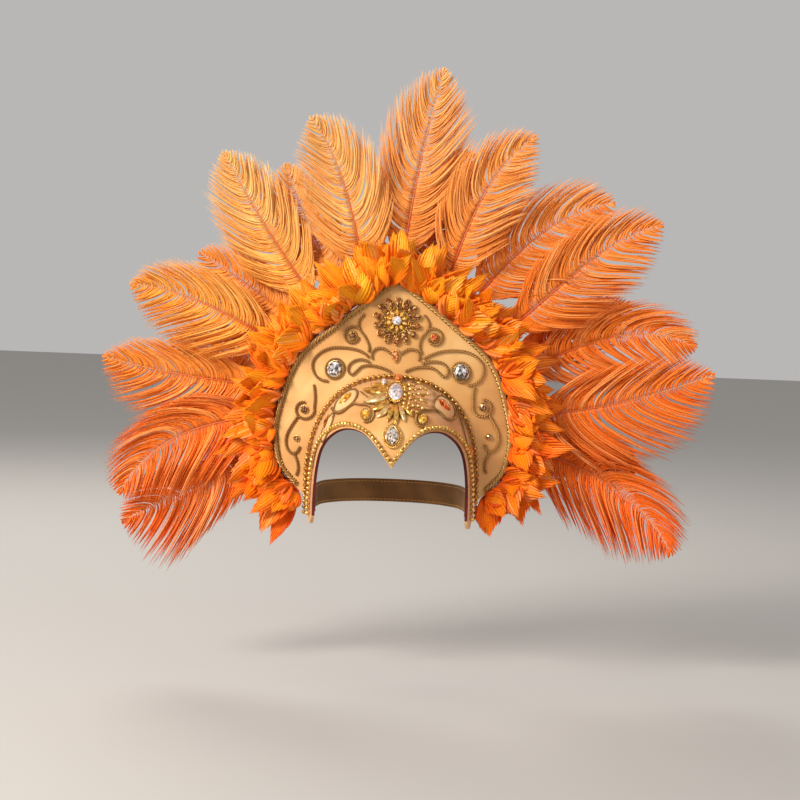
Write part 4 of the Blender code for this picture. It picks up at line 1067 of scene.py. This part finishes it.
def makeCordTree():
    # strands wound round the line, each a slim rod bent into its helix
    make = TreeMaker("twistCord", {
        "Strands": "Int", "Segments": "Int", "Turns": "Float", "Cord Radius": "Float", "Strand Radius": "Float",
        "Flatness": "Float", "Cord Material": "Material",
    })
    given = make.given
    line = make.out(make.node("GeometryNodeMeshToCurve", {"Mesh": given("Geometry")}))
    points, rod = make.strands(given("Strands"), 5, given("Segments"))
    index = make.out(make.node("GeometryNodeInputIndex"))
    points = make.stored(points, "strand", index / given("Strands"))
    mesh = make.realized(points, rod)
    ringX, ringY, height = make.parts(make.out(make.node("GeometryNodeInputPosition")))
    share = height + 0.5
    place, ahead, lift = make.sample(line, share, "lift")
    ahead = make.unit(ahead)
    side = make.unit(make.cross(ahead, lift))
    up = make.cross(side, ahead)
    angle = (share * given("Turns") + make.named("strand")) * (2 * math.pi)
    outward = (up * make.sin(angle) * given("Flatness")) + side * make.cos(angle)
    inward = (up * make.cos(angle) * given("Flatness")) - side * make.sin(angle)
    middle = place + outward * given("Cord Radius")
    middle = middle + (outward * ringX + inward * ringY) * given("Strand Radius")
    mesh = make.out(make.node("GeometryNodeSetPosition", {"Geometry": mesh, "Position": middle}))
    mesh = make.stored(mesh, "crest", ringX * 0.5 + 0.5)
    return make.finish([(mesh, given("Cord Material"))])


def makeStitchTree():
    make = TreeMaker("sewStitches", {
        "Stitches": "Int", "Stitch Radius": "Float", "Stitch Length": "Float", "Thread Material": "Material",
    })
    given = make.given
    line = make.out(make.node("GeometryNodeMeshToCurve", {"Mesh": given("Geometry")}))
    spots = make.node("GeometryNodeCurveToPoints", {"Curve": line, "Count": given("Stitches")}, mode="COUNT")
    stitch = make.out(make.node(
        "GeometryNodeMeshCylinder",
        {"Vertices": 6, "Side Segments": 1, "Radius": 1.0, "Depth": 1.0},
        fill_type="NGON",
    ))
    size = make.vector(given("Stitch Radius"), given("Stitch Radius"), given("Stitch Length"))
    feeds = {
        "Points": make.out(spots, "Points"), "Instance": stitch,
        "Rotation": make.out(spots, "Rotation"), "Scale": size,
    }
    sewn = make.out(make.node("GeometryNodeInstanceOnPoints", feeds))
    sewn = make.out(make.node("GeometryNodeRealizeInstances", {"Geometry": sewn}))
    return make.finish([(sewn, given("Thread Material"))])


beadTree = makeBeadTree()
cordTree = makeCordTree()
stitchTree = makeStitchTree()

# name: strands, metres for each full turn, distance of a strand from the middle, strand radius, flatness
cords = {
    "scroll": (2, 0.0054, 0.00072, 0.00090, 0.9),
    "fine": (2, 0.0042, 0.00046, 0.00058, 0.9),
    "collar": (2, 0.0046, 0.00060, 0.00075, 0.9),
    "braid": (3, 0.0135, 0.00125, 0.00135, 0.72),
}


def lineLength(points):
    return sum((b - a).length for a, b in zip(points, points[1:]))


def onLine(surface, path, lift):
    points = [onSurface(surface, p[0], p[1], lift) for p in path]
    return points, [surfaceNormal(surface, p[0], p[1]) for p in path]


def cordMesh(name, surface, path, kind, material="cord", lift=None):
    strands, pitch, cordRadius, strandRadius, flatness = cords[kind]
    if lift is None:
        lift = gap + cordRadius * flatness + strandRadius * flatness
    points, lifts = onLine(surface, path, lift)
    turns = max(1, round(lineLength(points) / pitch))
    settings = {
        "Strands": strands, "Segments": turns * 8, "Turns": float(turns), "Cord Radius": cordRadius,
        "Strand Radius": strandRadius, "Flatness": flatness, "Cord Material": materials[material],
    }
    return grown(name, cordTree, points, settings, lifts)


def beadMesh(name, points, radius, threadRadius, material="bead", spread=0.10, seed=1):
    settings = {
        "Bead Radius": radius, "Spread": spread, "Thread Radius": threadRadius, "Seed": seed,
        "Bead Material": materials[material], "Thread Material": materials["cord"],
    }
    return grown(name, beadTree, points, settings)


def evenLine(points, spacing):
    # points a bead apart along a line in space
    steps = [(b - a).length for a, b in zip(points, points[1:])]
    return evenly(points, steps, max(3, round(sum(steps) / spacing) + 1))


def fromCentre(x, z, distance):
    out = Vector((x - fan["centre"][0], z - fan["centre"][1])).normalized()
    return x + out[0] * distance, z + out[1] * distance


# braid and bead strings

trim = {
    "braidRadius": 0.0026, "braidInset": 0.0006, "archBead": 0.0022, "archPitch": 0.0054,
    "browBead": 0.0023, "browPitch": 0.0050, "browInset": 0.0026, "thread": 0.0006,
}


def makeTrim():
    half = smoothLine(plaqueEdge, 90)
    path = [fromCentre(x, z, -trim["braidRadius"] - trim["braidInset"]) for x, z in mirroredLine(half)]
    path = path[4:-4]
    braid = cordMesh("edgeBraid", plaqueFront, path, "braid", "braid", trim["braidRadius"] + gap)
    points, _ = onLine(plaqueFront, [fromCentre(x, z, -0.0021) for x, z in path], 0.0010)
    seeds = beadMesh("edgeSeeds", evenLine(points, 0.0030), 0.0008, 0.0004, "bead", 0.2, 5)
    settle(joined("plaque_edge_braid_cord", [braid, seeds]), "gold_bead", "plaque_edge_braid")

    lift = trim["archBead"] + gap
    half = [Vector(archPoint(i / 60, lift + 0.0005)) for i in range(61)]
    points, _ = onLine(plaqueFront, mirroredLine(half), lift)
    tabEnd = Vector((0, 0, cap["tabRounding"] - plaque["foot"]))
    points = [points[0] + tabEnd, *points, points[-1] + tabEnd]
    beads = beadMesh("archBeads", evenLine(points, trim["archPitch"]), trim["archBead"], trim["thread"], "darkBead", 0.12, 3)
    settle(joined("arch_bead_string_beads", [beads]), "gold_bead", "arch_bead_string")

    half, line = [], smoothLine(browEdge, 60)
    for i, point in enumerate(line):
        ahead = line[min(i + 1, len(line) - 1)] - line[max(i - 1, 0)]
        half.append(point + Vector((-ahead[1], ahead[0])).normalized() * trim["browInset"])
    half[0] = line[0] + Vector((0, 1.5 * trim["browInset"]))
    half.append(Vector((half[-1][0], cap["tabRounding"] + 0.001)))
    points, _ = onLine(browFront, mirroredLine(half), trim["browBead"] + gap)
    beads = beadMesh("browBeads", evenLine(points, trim["browPitch"]), trim["browBead"], trim["thread"], "bead", 0.12, 4)
    settle(joined("brow_bead_string_beads", [beads]), "gold_bead", "brow_bead_string")


makeTrim()
print("braid and bead strings threaded")

# stones: cut over foil, each facet with its own painted reflection (spark)

stoneSeat = {"plaque": 0.0005, "cap": 0.0008}
# form, x, z, length, width, turn, facets, motif that its place follows
stones = {
    "crystal": ("round", 0.0636, 0.1546, 0.0195, 0.0175, -25.0, 10, "wing"),
    "crest_stone": ("round", 0.0412, 0.1885, 0.0082, 0.0082, 0.0, 8, "crest"),
    "side_stone": ("round", 0.0900, 0.1165, 0.0090, 0.0090, 0.0, 8, "side"),
    "foot_stone": ("round", 0.0968, 0.0868, 0.0064, 0.0064, 0.0, 8, "side"),
    "brow_marquise": ("marquise", 0.0483, 0.1238, 0.0175, 0.0066, -47.0, 10, "brow"),
    "brow_round": ("round", 0.0275, 0.1130, 0.0088, 0.0084, 0.0, 8, "brow"),
    "temple_marquise": ("marquise", 0.0710, 0.0890, 0.0160, 0.0034, -12.0, 8, "temple"),
}
stoneLooks = {
    "crystal": ("crystal", "crystal"), "crest_stone": ("brown", "red"), "side_stone": ("brown", "brown"),
    "foot_stone": ("brown", "brown"), "brow_marquise": ("yellow", "red"), "brow_round": ("yellow", "yellow"),
    "temple_marquise": ("amber", "red"),
}
# start of each motif, and its shift outwards and upwards on the left and on the right
motifs = {
    "crest": ((0.0265, 0.1700), (0.0030, -0.0005), (-0.0030, 0.0005)),
    "wing": ((0.0262, 0.1650), (-0.0030, -0.0005), (0.0030, 0.0005)),
    "side": ((0.0818, 0.1450), (0.0, -0.0045), (0.0, 0.0045)),
    "brow": ((0.0, 0.0), (-0.0010, 0.0012), (0.0010, -0.0012)),
    "temple": ((0.0, 0.0), (-0.0060, 0.0125), (0.0060, -0.0125)),
}
shiftFade = 0.015


def shifted(path, side, motif):
    start, leftShift, rightShift = motifs[motif]
    sign, shift = (1, rightShift) if side == "right" else (-1, leftShift)
    points = []
    for x, z in path:
        share = min(math.dist((x, z), start) / shiftFade, 1.0)
        points.append(Vector((sign * (x + shift[0] * share), z + shift[1] * share)))
    return points


def placer(surface, centre, turn=0.0):
    # from a point in the ornament's own plane, and its lift, to the place on the surface
    turned = Matrix.Rotation(math.radians(turn), 2)

    def place(point, lift):
        x, z = turned @ Vector(point)
        return onSurface(surface, centre[0] + x, centre[1] + z, lift)

    return place


def stoneOutline(form, length, width, facets):
    points = []
    for k in range(facets):
        a = 2 * math.pi * k / facets
        x, z = math.sin(a), math.cos(a)
        if form == "marquise":
            x *= 0.55 + 0.45 * abs(math.sin(a)) if abs(z) < 0.999 else 1.0
        if form == "drop":
            x *= (1 - 0.45 * z) if z > 0 else 1.0
        points.append(Vector((x * width / 2, z * length / 2)))
    return points


def gemMesh(name, place, outline, seat, girdle, rise, material, seed, table=0.52):
    # pavilion foot, girdle, a half-turned ring of facets and the table
    count = len(outline)
    halfway = [(outline[k] + outline[(k + 1) % count]) * 0.5 for k in range(count)]
    spreadOut = 0.80 / math.cos(math.pi / count)
    rings = [
        [place(p * 0.88, seat) for p in outline],
        [place(p, girdle) for p in outline],
        [place(p * spreadOut, girdle + 0.62 * rise) for p in halfway],
        [place(p * table, girdle + rise) for p in outline],
    ]
    vertices = [p for ring in rings for p in ring]
    faces = [tuple(reversed(range(count)))]
    for k in range(count):
        n = (k + 1) % count
        faces.append((k, n, count + n, count + k))
        faces.append((count + k, count + n, 2 * count + k))
        faces.append((count + n, 2 * count + n, 2 * count + k))
        faces.append((2 * count + k, 3 * count + n, 3 * count + k))
        faces.append((2 * count + k, 2 * count + n, 3 * count + n))
    middle = len(vertices)
    vertices.append(place(Vector((0, 0)), girdle + rise))
    faces += [(3 * count + k, 3 * count + (k + 1) % count, middle) for k in range(count)]
    luck = random.Random(seed)
    sparks = [luck.random() for _ in faces]
    return shellMesh(name, vertices, faces, materials[material], True, sparks)


def collarPath(surface, centre, turn, outline, grow):
    turned = Matrix.Rotation(math.radians(turn), 2)
    points = []
    for p in outline:
        x, z = turned @ (p * ((p.length + grow) / p.length))
        points.append(Vector((centre[0] + x, centre[1] + z)))
    closed = smoothClosed(points, 40)
    return closed


def smoothClosed(points, count):
    given, fine = points, []
    for i in range(len(given)):
        a, b, c, d = (given[(i + k) % len(given)] for k in (-1, 0, 1, 2))
        for s in (0.0, 0.25, 0.5, 0.75):
            fine.append((2 * b + (c - a) * s + (2 * a - 5 * b + 4 * c - d) * s**2 + (3 * b - a - 3 * c + d) * s**3) * 0.5)
    fine.append(fine[0])
    return evenly(fine, [(q - p).length for p, q in zip(fine, fine[1:])], count + 1)


def settingMesh(name, place, outline, seat, height, width):
    # thin metal cup round a stone, with its lip turned in over the girdle
    count = len(outline)
    grown = [p * ((p.length + width) / p.length) for p in outline]
    rings = [
        [place(p, seat) for p in grown],
        [place(p, height * 0.8) for p in grown],
        [place((p + q) * 0.5, height) for p, q in zip(grown, outline)],
        [place(p * 0.97, height * 0.86) for p in outline],
        [place(p * 0.97, seat) for p in outline],
    ]
    vertices = [p for ring in rings for p in ring]
    faces = []
    for r in range(5):
        a, b = r * count, ((r + 1) % 5) * count
        faces += [(a + k, a + (k + 1) % count, b + (k + 1) % count, b + k) for k in range(count)]
    return shellMesh(name, vertices, faces, materials["leaf"], False)


def makeStones():
    for number, (name, (form, x, z, length, width, turn, facets, motif)) in enumerate(stones.items()):
        onCap = motif in ("brow", "temple")
        surface, seat = (browFront, stoneSeat["cap"]) if onCap else (plaqueFront, stoneSeat["plaque"])
        for k, side in enumerate(("left", "right")):
            centre = shifted([(x, z)], side, motif)[0]
            turned = turn if side == "left" else -turn
            place = placer(surface, centre, turned)
            outline = stoneOutline(form, length, width, facets)
            rise = 0.16 * width + 0.0010
            gem = gemMesh(name, place, [p * 0.90 for p in outline], seat, 0.0020, rise, stoneLooks[name][k], 7 * number + k)
            meshes = [gem, settingMesh(name + "Cup", place, [p * 0.90 for p in outline], seat, 0.0023, 0.00045)]
            if name == "crystal":
                path = collarPath(surface, centre, turned, outline, 0.0004)
                meshes.append(cordMesh(name + "Collar", surface, path, "collar", "cord", 0.0017))
            if name == "crest_stone" or name == "brow_round":
                path = collarPath(surface, centre, turned, outline, 0.0002)
                meshes.append(cordMesh(name + "Collar", surface, path, "fine", "cord", 0.0012))
            slot = "clear_stone" if name == "crystal" else "amber_stone"
            settle(joined(f"{name}_{side}_set", meshes), slot, f"{name}_{side}")


makeStones()
print("stones set")

# scrolls of twisted cord

heartLobe = ((0.0045, 0.1715), (0.0130, 0.1765), (0.0205, 0.1755), (0.0240, 0.1705), (0.0232, 0.1652))
leafLoop = (
    (0.0262, 0.1625), (0.0350, 0.1648), (0.0440, 0.1635), (0.0495, 0.1585), (0.0500, 0.1525), (0.0460, 0.1493),
    (0.0420, 0.1528), (0.0350, 0.1582), (0.0240, 0.1590), (0.0140, 0.1567), (0.0068, 0.1536),
)
crestStem = (
    (0.0265, 0.1725), (0.0255, 0.1795), (0.0285, 0.1880), (0.0345, 0.1960), (0.0350, 0.2040), (0.0300, 0.2110),
)
crestCurlStart = ((0.0332, 0.1943), (0.0370, 0.1975))
wingSweep = (
    (0.0275, 0.1672), (0.0340, 0.1715), (0.0440, 0.1750), (0.0570, 0.1762), (0.0690, 0.1750), (0.0790, 0.1700),
    (0.0853, 0.1625), (0.0862, 0.1545), (0.0825, 0.1466), (0.0760, 0.1425), (0.0700, 0.1420),
)
sideStem = ((0.0815, 0.1390), (0.0805, 0.1360), (0.0795, 0.1280), (0.0800, 0.1190))
lowerCurl = (
    (0.1015, 0.1005), (0.1062, 0.0915), (0.1075, 0.0835), (0.1055, 0.0760), (0.1005, 0.0715), (0.0955, 0.0735),
    (0.0930, 0.0790),
)
footHook = ((0.0992, 0.0722), (0.0955, 0.0650), (0.0940, 0.0575), (0.0947, 0.0520), (0.0960, 0.0498))
browSweep = (
    (0.0615, 0.1135), (0.0565, 0.1105), (0.0500, 0.1125), (0.0445, 0.1175), (0.0390, 0.1208), (0.0330, 0.1205),
)
curlRadii = {"crest": (0.0092, 0.0062), "side": (0.0108, 0.0072), "brow": (0.0080, 0.0070)}


# outlines of the padded leaves, and the thin lines on the cap
leftFrame = (
    (-0.0581, 0.1126), (-0.0580, 0.1183), (-0.0543, 0.1246), (-0.0480, 0.1305), (-0.0415, 0.1342), (-0.0365, 0.1334),
    (-0.0372, 0.1270), (-0.0433, 0.1200), (-0.0513, 0.1145),
)
rightFrame = (
    (0.0381, 0.1239), (0.0444, 0.1171), (0.0520, 0.1106), (0.0581, 0.1101), (0.0609, 0.1149), (0.0584, 0.1224),
    (0.0523, 0.1282), (0.0436, 0.1312),
)
templeLoop = (
    (-0.0700, 0.0847), (-0.0697, 0.0908), (-0.0668, 0.0989), (-0.0631, 0.1064), (-0.0582, 0.1117), (-0.0598, 0.1021),
    (-0.0633, 0.0925), (-0.0671, 0.0841),
)
capLeaves = {"brow_scroll_left": (leftFrame, templeLoop), "brow_scroll_right": (rightFrame,)}
capLines = {
    "brow_scroll_left": [
        ((-0.0158, 0.1300), (-0.0240, 0.1290), (-0.0330, 0.1330)),
        ((-0.0575, 0.1105), (-0.0650, 0.0985), (-0.0710, 0.0850), (-0.0755, 0.0700), (-0.0775, 0.0560)),
    ],
    "brow_scroll_right": [
        ((0.0156, 0.1436), (0.0250, 0.1422), (0.0342, 0.1385), (0.0390, 0.1335), (0.0415, 0.1280)),
        ((0.0359, 0.1388), (0.0513, 0.1309), (0.0609, 0.1204), (0.0669, 0.1073), (0.0731, 0.0869), (0.0770, 0.0660)),
    ],
}

def curled(start, centre, radii, turns, turning):
    centre = Vector(centre)
    away = Vector(start[-1]) - centre
    angle = math.atan2(away[1], away[0])
    count = round(12 * turns)
    points = [Vector(p) for p in start]
    for i in range(1, count + 1):
        share = i / count
        radius = radii[0] + (radii[1] - radii[0]) * share
        a = angle + turning * 2 * math.pi * turns * share
        points.append(centre + Vector((math.cos(a), math.sin(a))) * radius)
    return points


def padMesh(outline):
    # a satin pillow inside a closed line on the cap
    middle = sum(outline, Vector((0, 0))) / len(outline)
    vertices, faces = [], []
    for scale, lift in ((0.96, 0.0003), (0.90, 0.0012), (0.70, 0.0019), (0.40, 0.0022)):
        vertices += [onSurface(browFront, *(middle + (p - middle) * scale), lift) for p in outline]
    count = len(outline)
    for r in range(3):
        a = r * count
        faces += [(a + k, a + (k + 1) % count, a + count + (k + 1) % count, a + count + k) for k in range(count)]
    vertices += [onSurface(browFront, *middle, 0.0003), onSurface(browFront, *middle, 0.0023)]
    foot, top = len(vertices) - 2, len(vertices) - 1
    faces += [(foot, (k + 1) % count, k) for k in range(count)]
    faces += [(3 * count + k, 3 * count + (k + 1) % count, top) for k in range(count)]
    return shellMesh("pad", vertices, faces, materials["pad"], False)


def cordPiece(name, surface, paths, side, motif, kind="scroll"):
    meshes = []
    for k, path in enumerate(paths):
        line = shifted(path, side, motif) if motif else [Vector(p) for p in path]
        length = sum((b - a).length for a, b in zip(line, line[1:]))
        line = smoothLine(line, max(8, round(length / 0.0016)))
        meshes.append(cordMesh(f"{name}{k}", surface, line, kind))
    return meshes


def makeScrolls():
    crestCurl = curled(crestCurlStart, stones["crest_stone"][1:3], curlRadii["crest"], 0.80, -1)
    sideCurl = curled(sideStem, stones["side_stone"][1:3], curlRadii["side"], 0.80, 1)
    branch = [sideCurl[len(sideStem) + 4], *lowerCurl]
    browCurl = curled(browSweep, stones["brow_round"][1:3], curlRadii["brow"], 0.62, 1)
    scrolls = {
        "crest_scroll": (plaqueFront, [crestStem, crestCurl], "crest"),
        "leaf_scroll": (plaqueFront, [leafLoop], "wing"),
        "wing_scroll": (plaqueFront, [wingSweep], "wing"),
        "side_scroll": (plaqueFront, [sideCurl, branch, footHook], "side"),
        "brow_scroll": (browFront, [browCurl], "brow"),
    }
    for side in ("left", "right"):
        for name, (surface, paths, motif) in scrolls.items():
            meshes = cordPiece(name, surface, paths, side, motif)
            for line in capLines.get(f"{name}_{side}", ()):
                meshes += cordPiece("capLine", browFront, [line], side, None, "fine")
            for outline in capLeaves.get(f"{name}_{side}", ()):
                closed = smoothClosed([Vector(p) for p in outline], 40)
                meshes += [padMesh(closed[:-1]), cordMesh("leafEdge", browFront, closed, "fine")]
            settle(joined(f"{name}_{side}_cord", meshes), "gold_bead", f"{name}_{side}")


makeScrolls()
print("scrolls laid")

# heart, peak stone, rosette and brooch

rosette = {"centre": (0.0, 0.2045), "petals": 14, "reach": 0.0245, "petalFoot": 0.0125, "petalWidth": 0.0086}
brooch = {"centre": (0.0015, 0.1325), "stone": 0.0069}


def dropOutline(length, width, facets=10):
    return stoneOutline("drop", length, width, facets)


def makeHeart():
    meshes = []
    for sign in (-1, 1):
        path = smoothLine([(sign * x, z) for x, z in heartLobe], 26)
        meshes.append(cordMesh("heart", plaqueFront, path, "scroll"))
    centre = (0.0, 0.1695)
    place = placer(plaqueFront, centre)
    outline = [Vector((p[0], -p[1])) for p in dropOutline(0.0135, 0.0092)]
    meshes.append(gemMesh("heartGem", place, outline, stoneSeat["plaque"], 0.0018, 0.0022, "amber", 91))
    meshes.append(settingMesh("heartCup", place, outline, stoneSeat["plaque"], 0.0022, 0.0006))
    settle(joined("heart_motif_set", meshes), "amber_stone", "heart_motif")


def makePeakStone():
    centre = (0.0, 0.0965)
    place = placer(browFront, centre)
    outline = dropOutline(0.0170, 0.0124, 12)
    meshes = [gemMesh("peakGem", place, outline, stoneSeat["cap"], 0.0026, 0.0030, "peak", 12)]
    meshes.append(settingMesh("peakCup", place, outline, stoneSeat["cap"], 0.0030, 0.0008))
    collar = smoothClosed([p * ((p.length + 0.0023) / p.length) for p in outline], 30)
    points = [place(p, 0.0024) for p in collar[:-1]]
    meshes.append(beadMesh("peakBeads", points, 0.00105, 0.0004, "leaf", 0.15, 6))
    settle(joined("peak_stone_set", meshes), "clear_stone", "peak_stone")


def petalMesh(name, place, root, tip, width, foot, rise, material, stations=7, crease=0.35):
    # a domed leaf with a crease along its middle
    root, tip = Vector(root), Vector(tip)
    ahead = (tip - root).normalized()
    side = Vector((ahead[1], -ahead[0]))
    vertices, faces = [], []
    for i in range(stations):
        s = i / (stations - 1)
        half = width * 0.5 * (math.sin(math.pi * min(0.10 + 0.88 * s, 0.985)) ** 0.8)
        middle = root.lerp(tip, s)
        high = foot + rise * math.sin(math.pi * min(0.18 + 0.74 * s, 1.0))
        low = foot
        row = [
            place(middle - side * half, low), place(middle - side * half * 0.55, low + (high - low) * 0.9),
            place(middle, low + (high - low) * (1 - crease)),
            place(middle + side * half * 0.55, low + (high - low) * 0.9), place(middle + side * half, low),
            place(middle, low - 0.0003),
        ]
        vertices += row
    for i in range(stations - 1):
        for k in range(6):
            a, b = 6 * i + k, 6 * i + (k + 1) % 6
            faces.append((a, b, b + 6, a + 6))
    faces += [tuple(range(6)), tuple(reversed(range(len(vertices) - 6, len(vertices))))]
    return shellMesh(name, vertices, faces, materials[material], False)


def makeRosette():
    count = rosette["petals"]
    meshes = []
    outline = dropOutline(rosette["reach"] - rosette["petalFoot"], rosette["petalWidth"], 8)
    outline = [Vector((p[0] * 0.88, -p[1])) for p in outline]
    middleReach = (rosette["reach"] + rosette["petalFoot"]) / 2 + 0.0006
    seat = stoneSeat["plaque"]
    for k in range(count):
        a = 360 * k / count
        out = Vector((math.sin(math.radians(a)), math.cos(math.radians(a))))
        at = Vector(rosette["centre"]) + out * middleReach
        place = placer(plaqueFront, at, -a)
        meshes.append(gemMesh("petalGem", place, [p * 0.94 for p in outline], seat, 0.0028, 0.0024, "rosette", 30 + k))
        meshes.append(settingMesh("petalCup", place, [p * 0.94 for p in outline], seat, 0.0031, 0.00035))
        between = Vector(rosette["centre"]) + (Matrix.Rotation(math.radians(-180 / count), 2) @ out) * 0.0138
        dot = placer(plaqueFront, between)
        small = stoneOutline("round", 0.0034, 0.0034, 8)
        meshes.append(gemMesh("innerGem", dot, small, seat, 0.0034, 0.0014, "rosette", 60 + k))
    place = placer(plaqueFront, rosette["centre"])
    disc = stoneOutline("round", 0.0235, 0.0235, 28)
    meshes.append(settingMesh("rosetteDisc", place, disc, seat, 0.0026, 0.0010))
    for k in range(10):
        a = math.radians(36 * k)
        out = Vector((math.sin(a), math.cos(a)))
        petal = placer(plaqueFront, Vector(rosette["centre"]) + out * 0.0080, -36 * k)
        shape = stoneOutline("marquise", 0.0066, 0.0040, 8)
        meshes.append(gemMesh("ringGem", petal, shape, seat, 0.0044, 0.0016, "yellow", 90 + k))
        meshes.append(petalMesh("prong", petal, (0, 0.0030), (0, 0.0062), 0.0012, 0.0040, 0.0016, "leaf", 4, 0.0))
    top = stoneOutline("round", 0.0090, 0.0090, 12)
    meshes.append(gemMesh("opal", place, top, seat, 0.0062, 0.0024, "clear", 5))
    meshes.append(settingMesh("opalCup", place, top, seat, 0.0068, 0.0006))
    settle(joined("rosette_set", meshes), "amber_stone", "rosette")


# gold leaves of the brooch: root, tip, width, rise and material
broochLeaves = (
    ((-0.0060, 0.0045), (-0.0250, 0.0072), 0.0060, 0.0026, "leaf"),
    ((-0.0060, 0.0015), (-0.0325, 0.0020), 0.0064, 0.0034, "leaf"),
    ((-0.0055, -0.0020), (-0.0310, -0.0085), 0.0070, 0.0040, "paleLeaf"),
    ((-0.0045, -0.0065), (-0.0235, -0.0150), 0.0066, 0.0036, "leaf"),
    ((-0.0030, -0.0095), (-0.0170, -0.0205), 0.0060, 0.0030, "paleLeaf"),
    ((-0.0010, -0.0085), (-0.0070, -0.0240), 0.0060, 0.0034, "leaf"),
    ((0.0010, -0.0085), (0.0015, -0.0265), 0.0062, 0.0036, "leaf"),
    ((0.0035, -0.0080), (0.0100, -0.0235), 0.0060, 0.0034, "paleLeaf"),
    ((0.0055, -0.0065), (0.0175, -0.0190), 0.0056, 0.0030, "leaf"),
    ((-0.0040, 0.0060), (-0.0150, 0.0100), 0.0050, 0.0026, "paleLeaf"),
    ((0.0040, 0.0060), (0.0110, 0.0085), 0.0046, 0.0026, "leaf"),
)
# rows of small beads to the right of the stone: root, tip and bead radius
broochBeads = (
    ((0.0085, 0.0045), (0.0215, 0.0070), 0.0020), ((0.0090, 0.0015), (0.0285, 0.0028), 0.0021),
    ((0.0090, -0.0020), (0.0300, -0.0022), 0.0021), ((0.0090, -0.0055), (0.0290, -0.0080), 0.0021),
    ((0.0085, -0.0090), (0.0255, -0.0130), 0.0020), ((0.0080, -0.0120), (0.0200, -0.0165), 0.0018),
)


def makeBrooch():
    seat = stoneSeat["cap"]
    place = placer(browFront, brooch["centre"])
    meshes = []
    for root, tip, width, rise, material in broochLeaves:
        meshes.append(petalMesh("broochLeaf", place, root, tip, width, seat + 0.0006, rise, material, 8))
    for row, (root, tip, radius) in enumerate(broochBeads):
        root, tip = Vector(root), Vector(tip)
        steps = max(3, round((tip - root).length / (radius * 2.15)))
        points = [place(root.lerp(tip, i / steps), seat + 0.0004 + radius * (1.1 + 0.7 * (i % 2))) for i in range(steps + 1)]
        meshes.append(beadMesh("broochBeads", points, radius, 0.0004, "bead", 0.25, 20 + row))
    big = stoneOutline("round", 2 * brooch["stone"], 2 * brooch["stone"], 14)
    meshes.append(gemMesh("broochGem", place, big, seat, 0.0046, 0.0026, "clear", 8))
    meshes.append(settingMesh("broochCup", place, big, seat, 0.0051, 0.0008))
    ring = smoothClosed([p * 1.20 for p in big], 26)
    meshes.append(beadMesh("broochRing", [place(p, 0.0040) for p in ring[:-1]], 0.00085, 0.0003, "leaf", 0.1, 9))
    for at, size, material, facets in (((0.0020, 0.0118), 0.0074, "red", 8), ((-0.0118, 0.0078), 0.0054, "clear", 8)):
        spot = placer(browFront, Vector(brooch["centre"]) + Vector(at))
        shape = stoneOutline("round", size * 0.8, size, facets)
        meshes.append(gemMesh("broochSmall", spot, shape, seat, 0.0046, 0.0018, material, 40))
        meshes.append(settingMesh("broochSmallCup", spot, shape, seat, 0.0050, 0.0005))
    settle(joined("brooch_set", meshes), "gold_bead", "brooch")


makeHeart()
makePeakStone()
makeRosette()
makeBrooch()
print("rosette and brooch set")

# strap round the back of the head

strap = {
    "width": 0.024, "thickness": 0.002, "low": 0.012, "stitches": 74, "stitchLength": 0.0030, "stitchRadius": 0.00035,
    "stitchInset": 0.0026,
    "plan": (
        (0.0752, -0.012), (0.0766, -0.005), (0.0772, 0.005), (0.0768, 0.026), (0.0705, 0.060), (0.0520, 0.085),
        (0.0280, 0.098), (0.0000, 0.102),
    ),
}


def makeStrap():
    half = smoothLine(strap["plan"], 40)
    plan = [*half, *[Vector((-p[0], p[1])) for p in reversed(half[:-1])]]
    # section of the tape, with a rolled edge above and below
    thick, low, high = strap["thickness"] / 2, strap["low"], strap["low"] + strap["width"]
    section = []
    for z, share in ((low, 0.55), (low + 0.0008, 1.0), (low + 0.0022, 1.0), (low + 0.0030, 0.78)):
        section.append((share, z))
    section += [(0.78, (low + high) / 2), *[(share, low + high - z) for share, z in reversed(section)]]
    vertices, faces = [], []
    count = len(section)
    for i, point in enumerate(plan):
        ahead = plan[min(i + 1, len(plan) - 1)] - plan[max(i - 1, 0)]
        side = Vector((ahead[1], -ahead[0])).normalized() * thick
        for sign in (1, -1):
            for share, z in section if sign == 1 else reversed(section):
                vertices.append(Vector((point[0] + side[0] * share * sign, point[1] + side[1] * share * sign, z)))
    ring = 2 * count
    for i in range(len(plan) - 1):
        for k in range(ring):
            a, b = ring * i + k, ring * i + (k + 1) % ring
            faces.append((a, b, b + ring, a + ring))
    faces += [tuple(range(ring)), tuple(range(len(vertices) - ring, len(vertices)))]
    meshes = [shellMesh("strap", vertices, faces, materials["strap"], False)]
    for z in (low + strap["stitchInset"], high - strap["stitchInset"]):
        for sign in (1, -1):
            line = []
            for i, point in enumerate(plan):
                ahead = plan[min(i + 1, len(plan) - 1)] - plan[max(i - 1, 0)]
                side = Vector((ahead[1], -ahead[0])).normalized() * (thick * 0.95 * sign)
                line.append(Vector((point[0] + side[0], point[1] + side[1], z)))
            settings = {
                "Stitches": strap["stitches"], "Stitch Radius": strap["stitchRadius"],
                "Stitch Length": strap["stitchLength"], "Thread Material": materials["thread"],
            }
            meshes.append(grown("strapStitches", stitchTree, line[2:-2], settings))
    settle(joined("head_band_tape", meshes), "plain_band", "head_band")


makeStrap()
print("strap sewn")
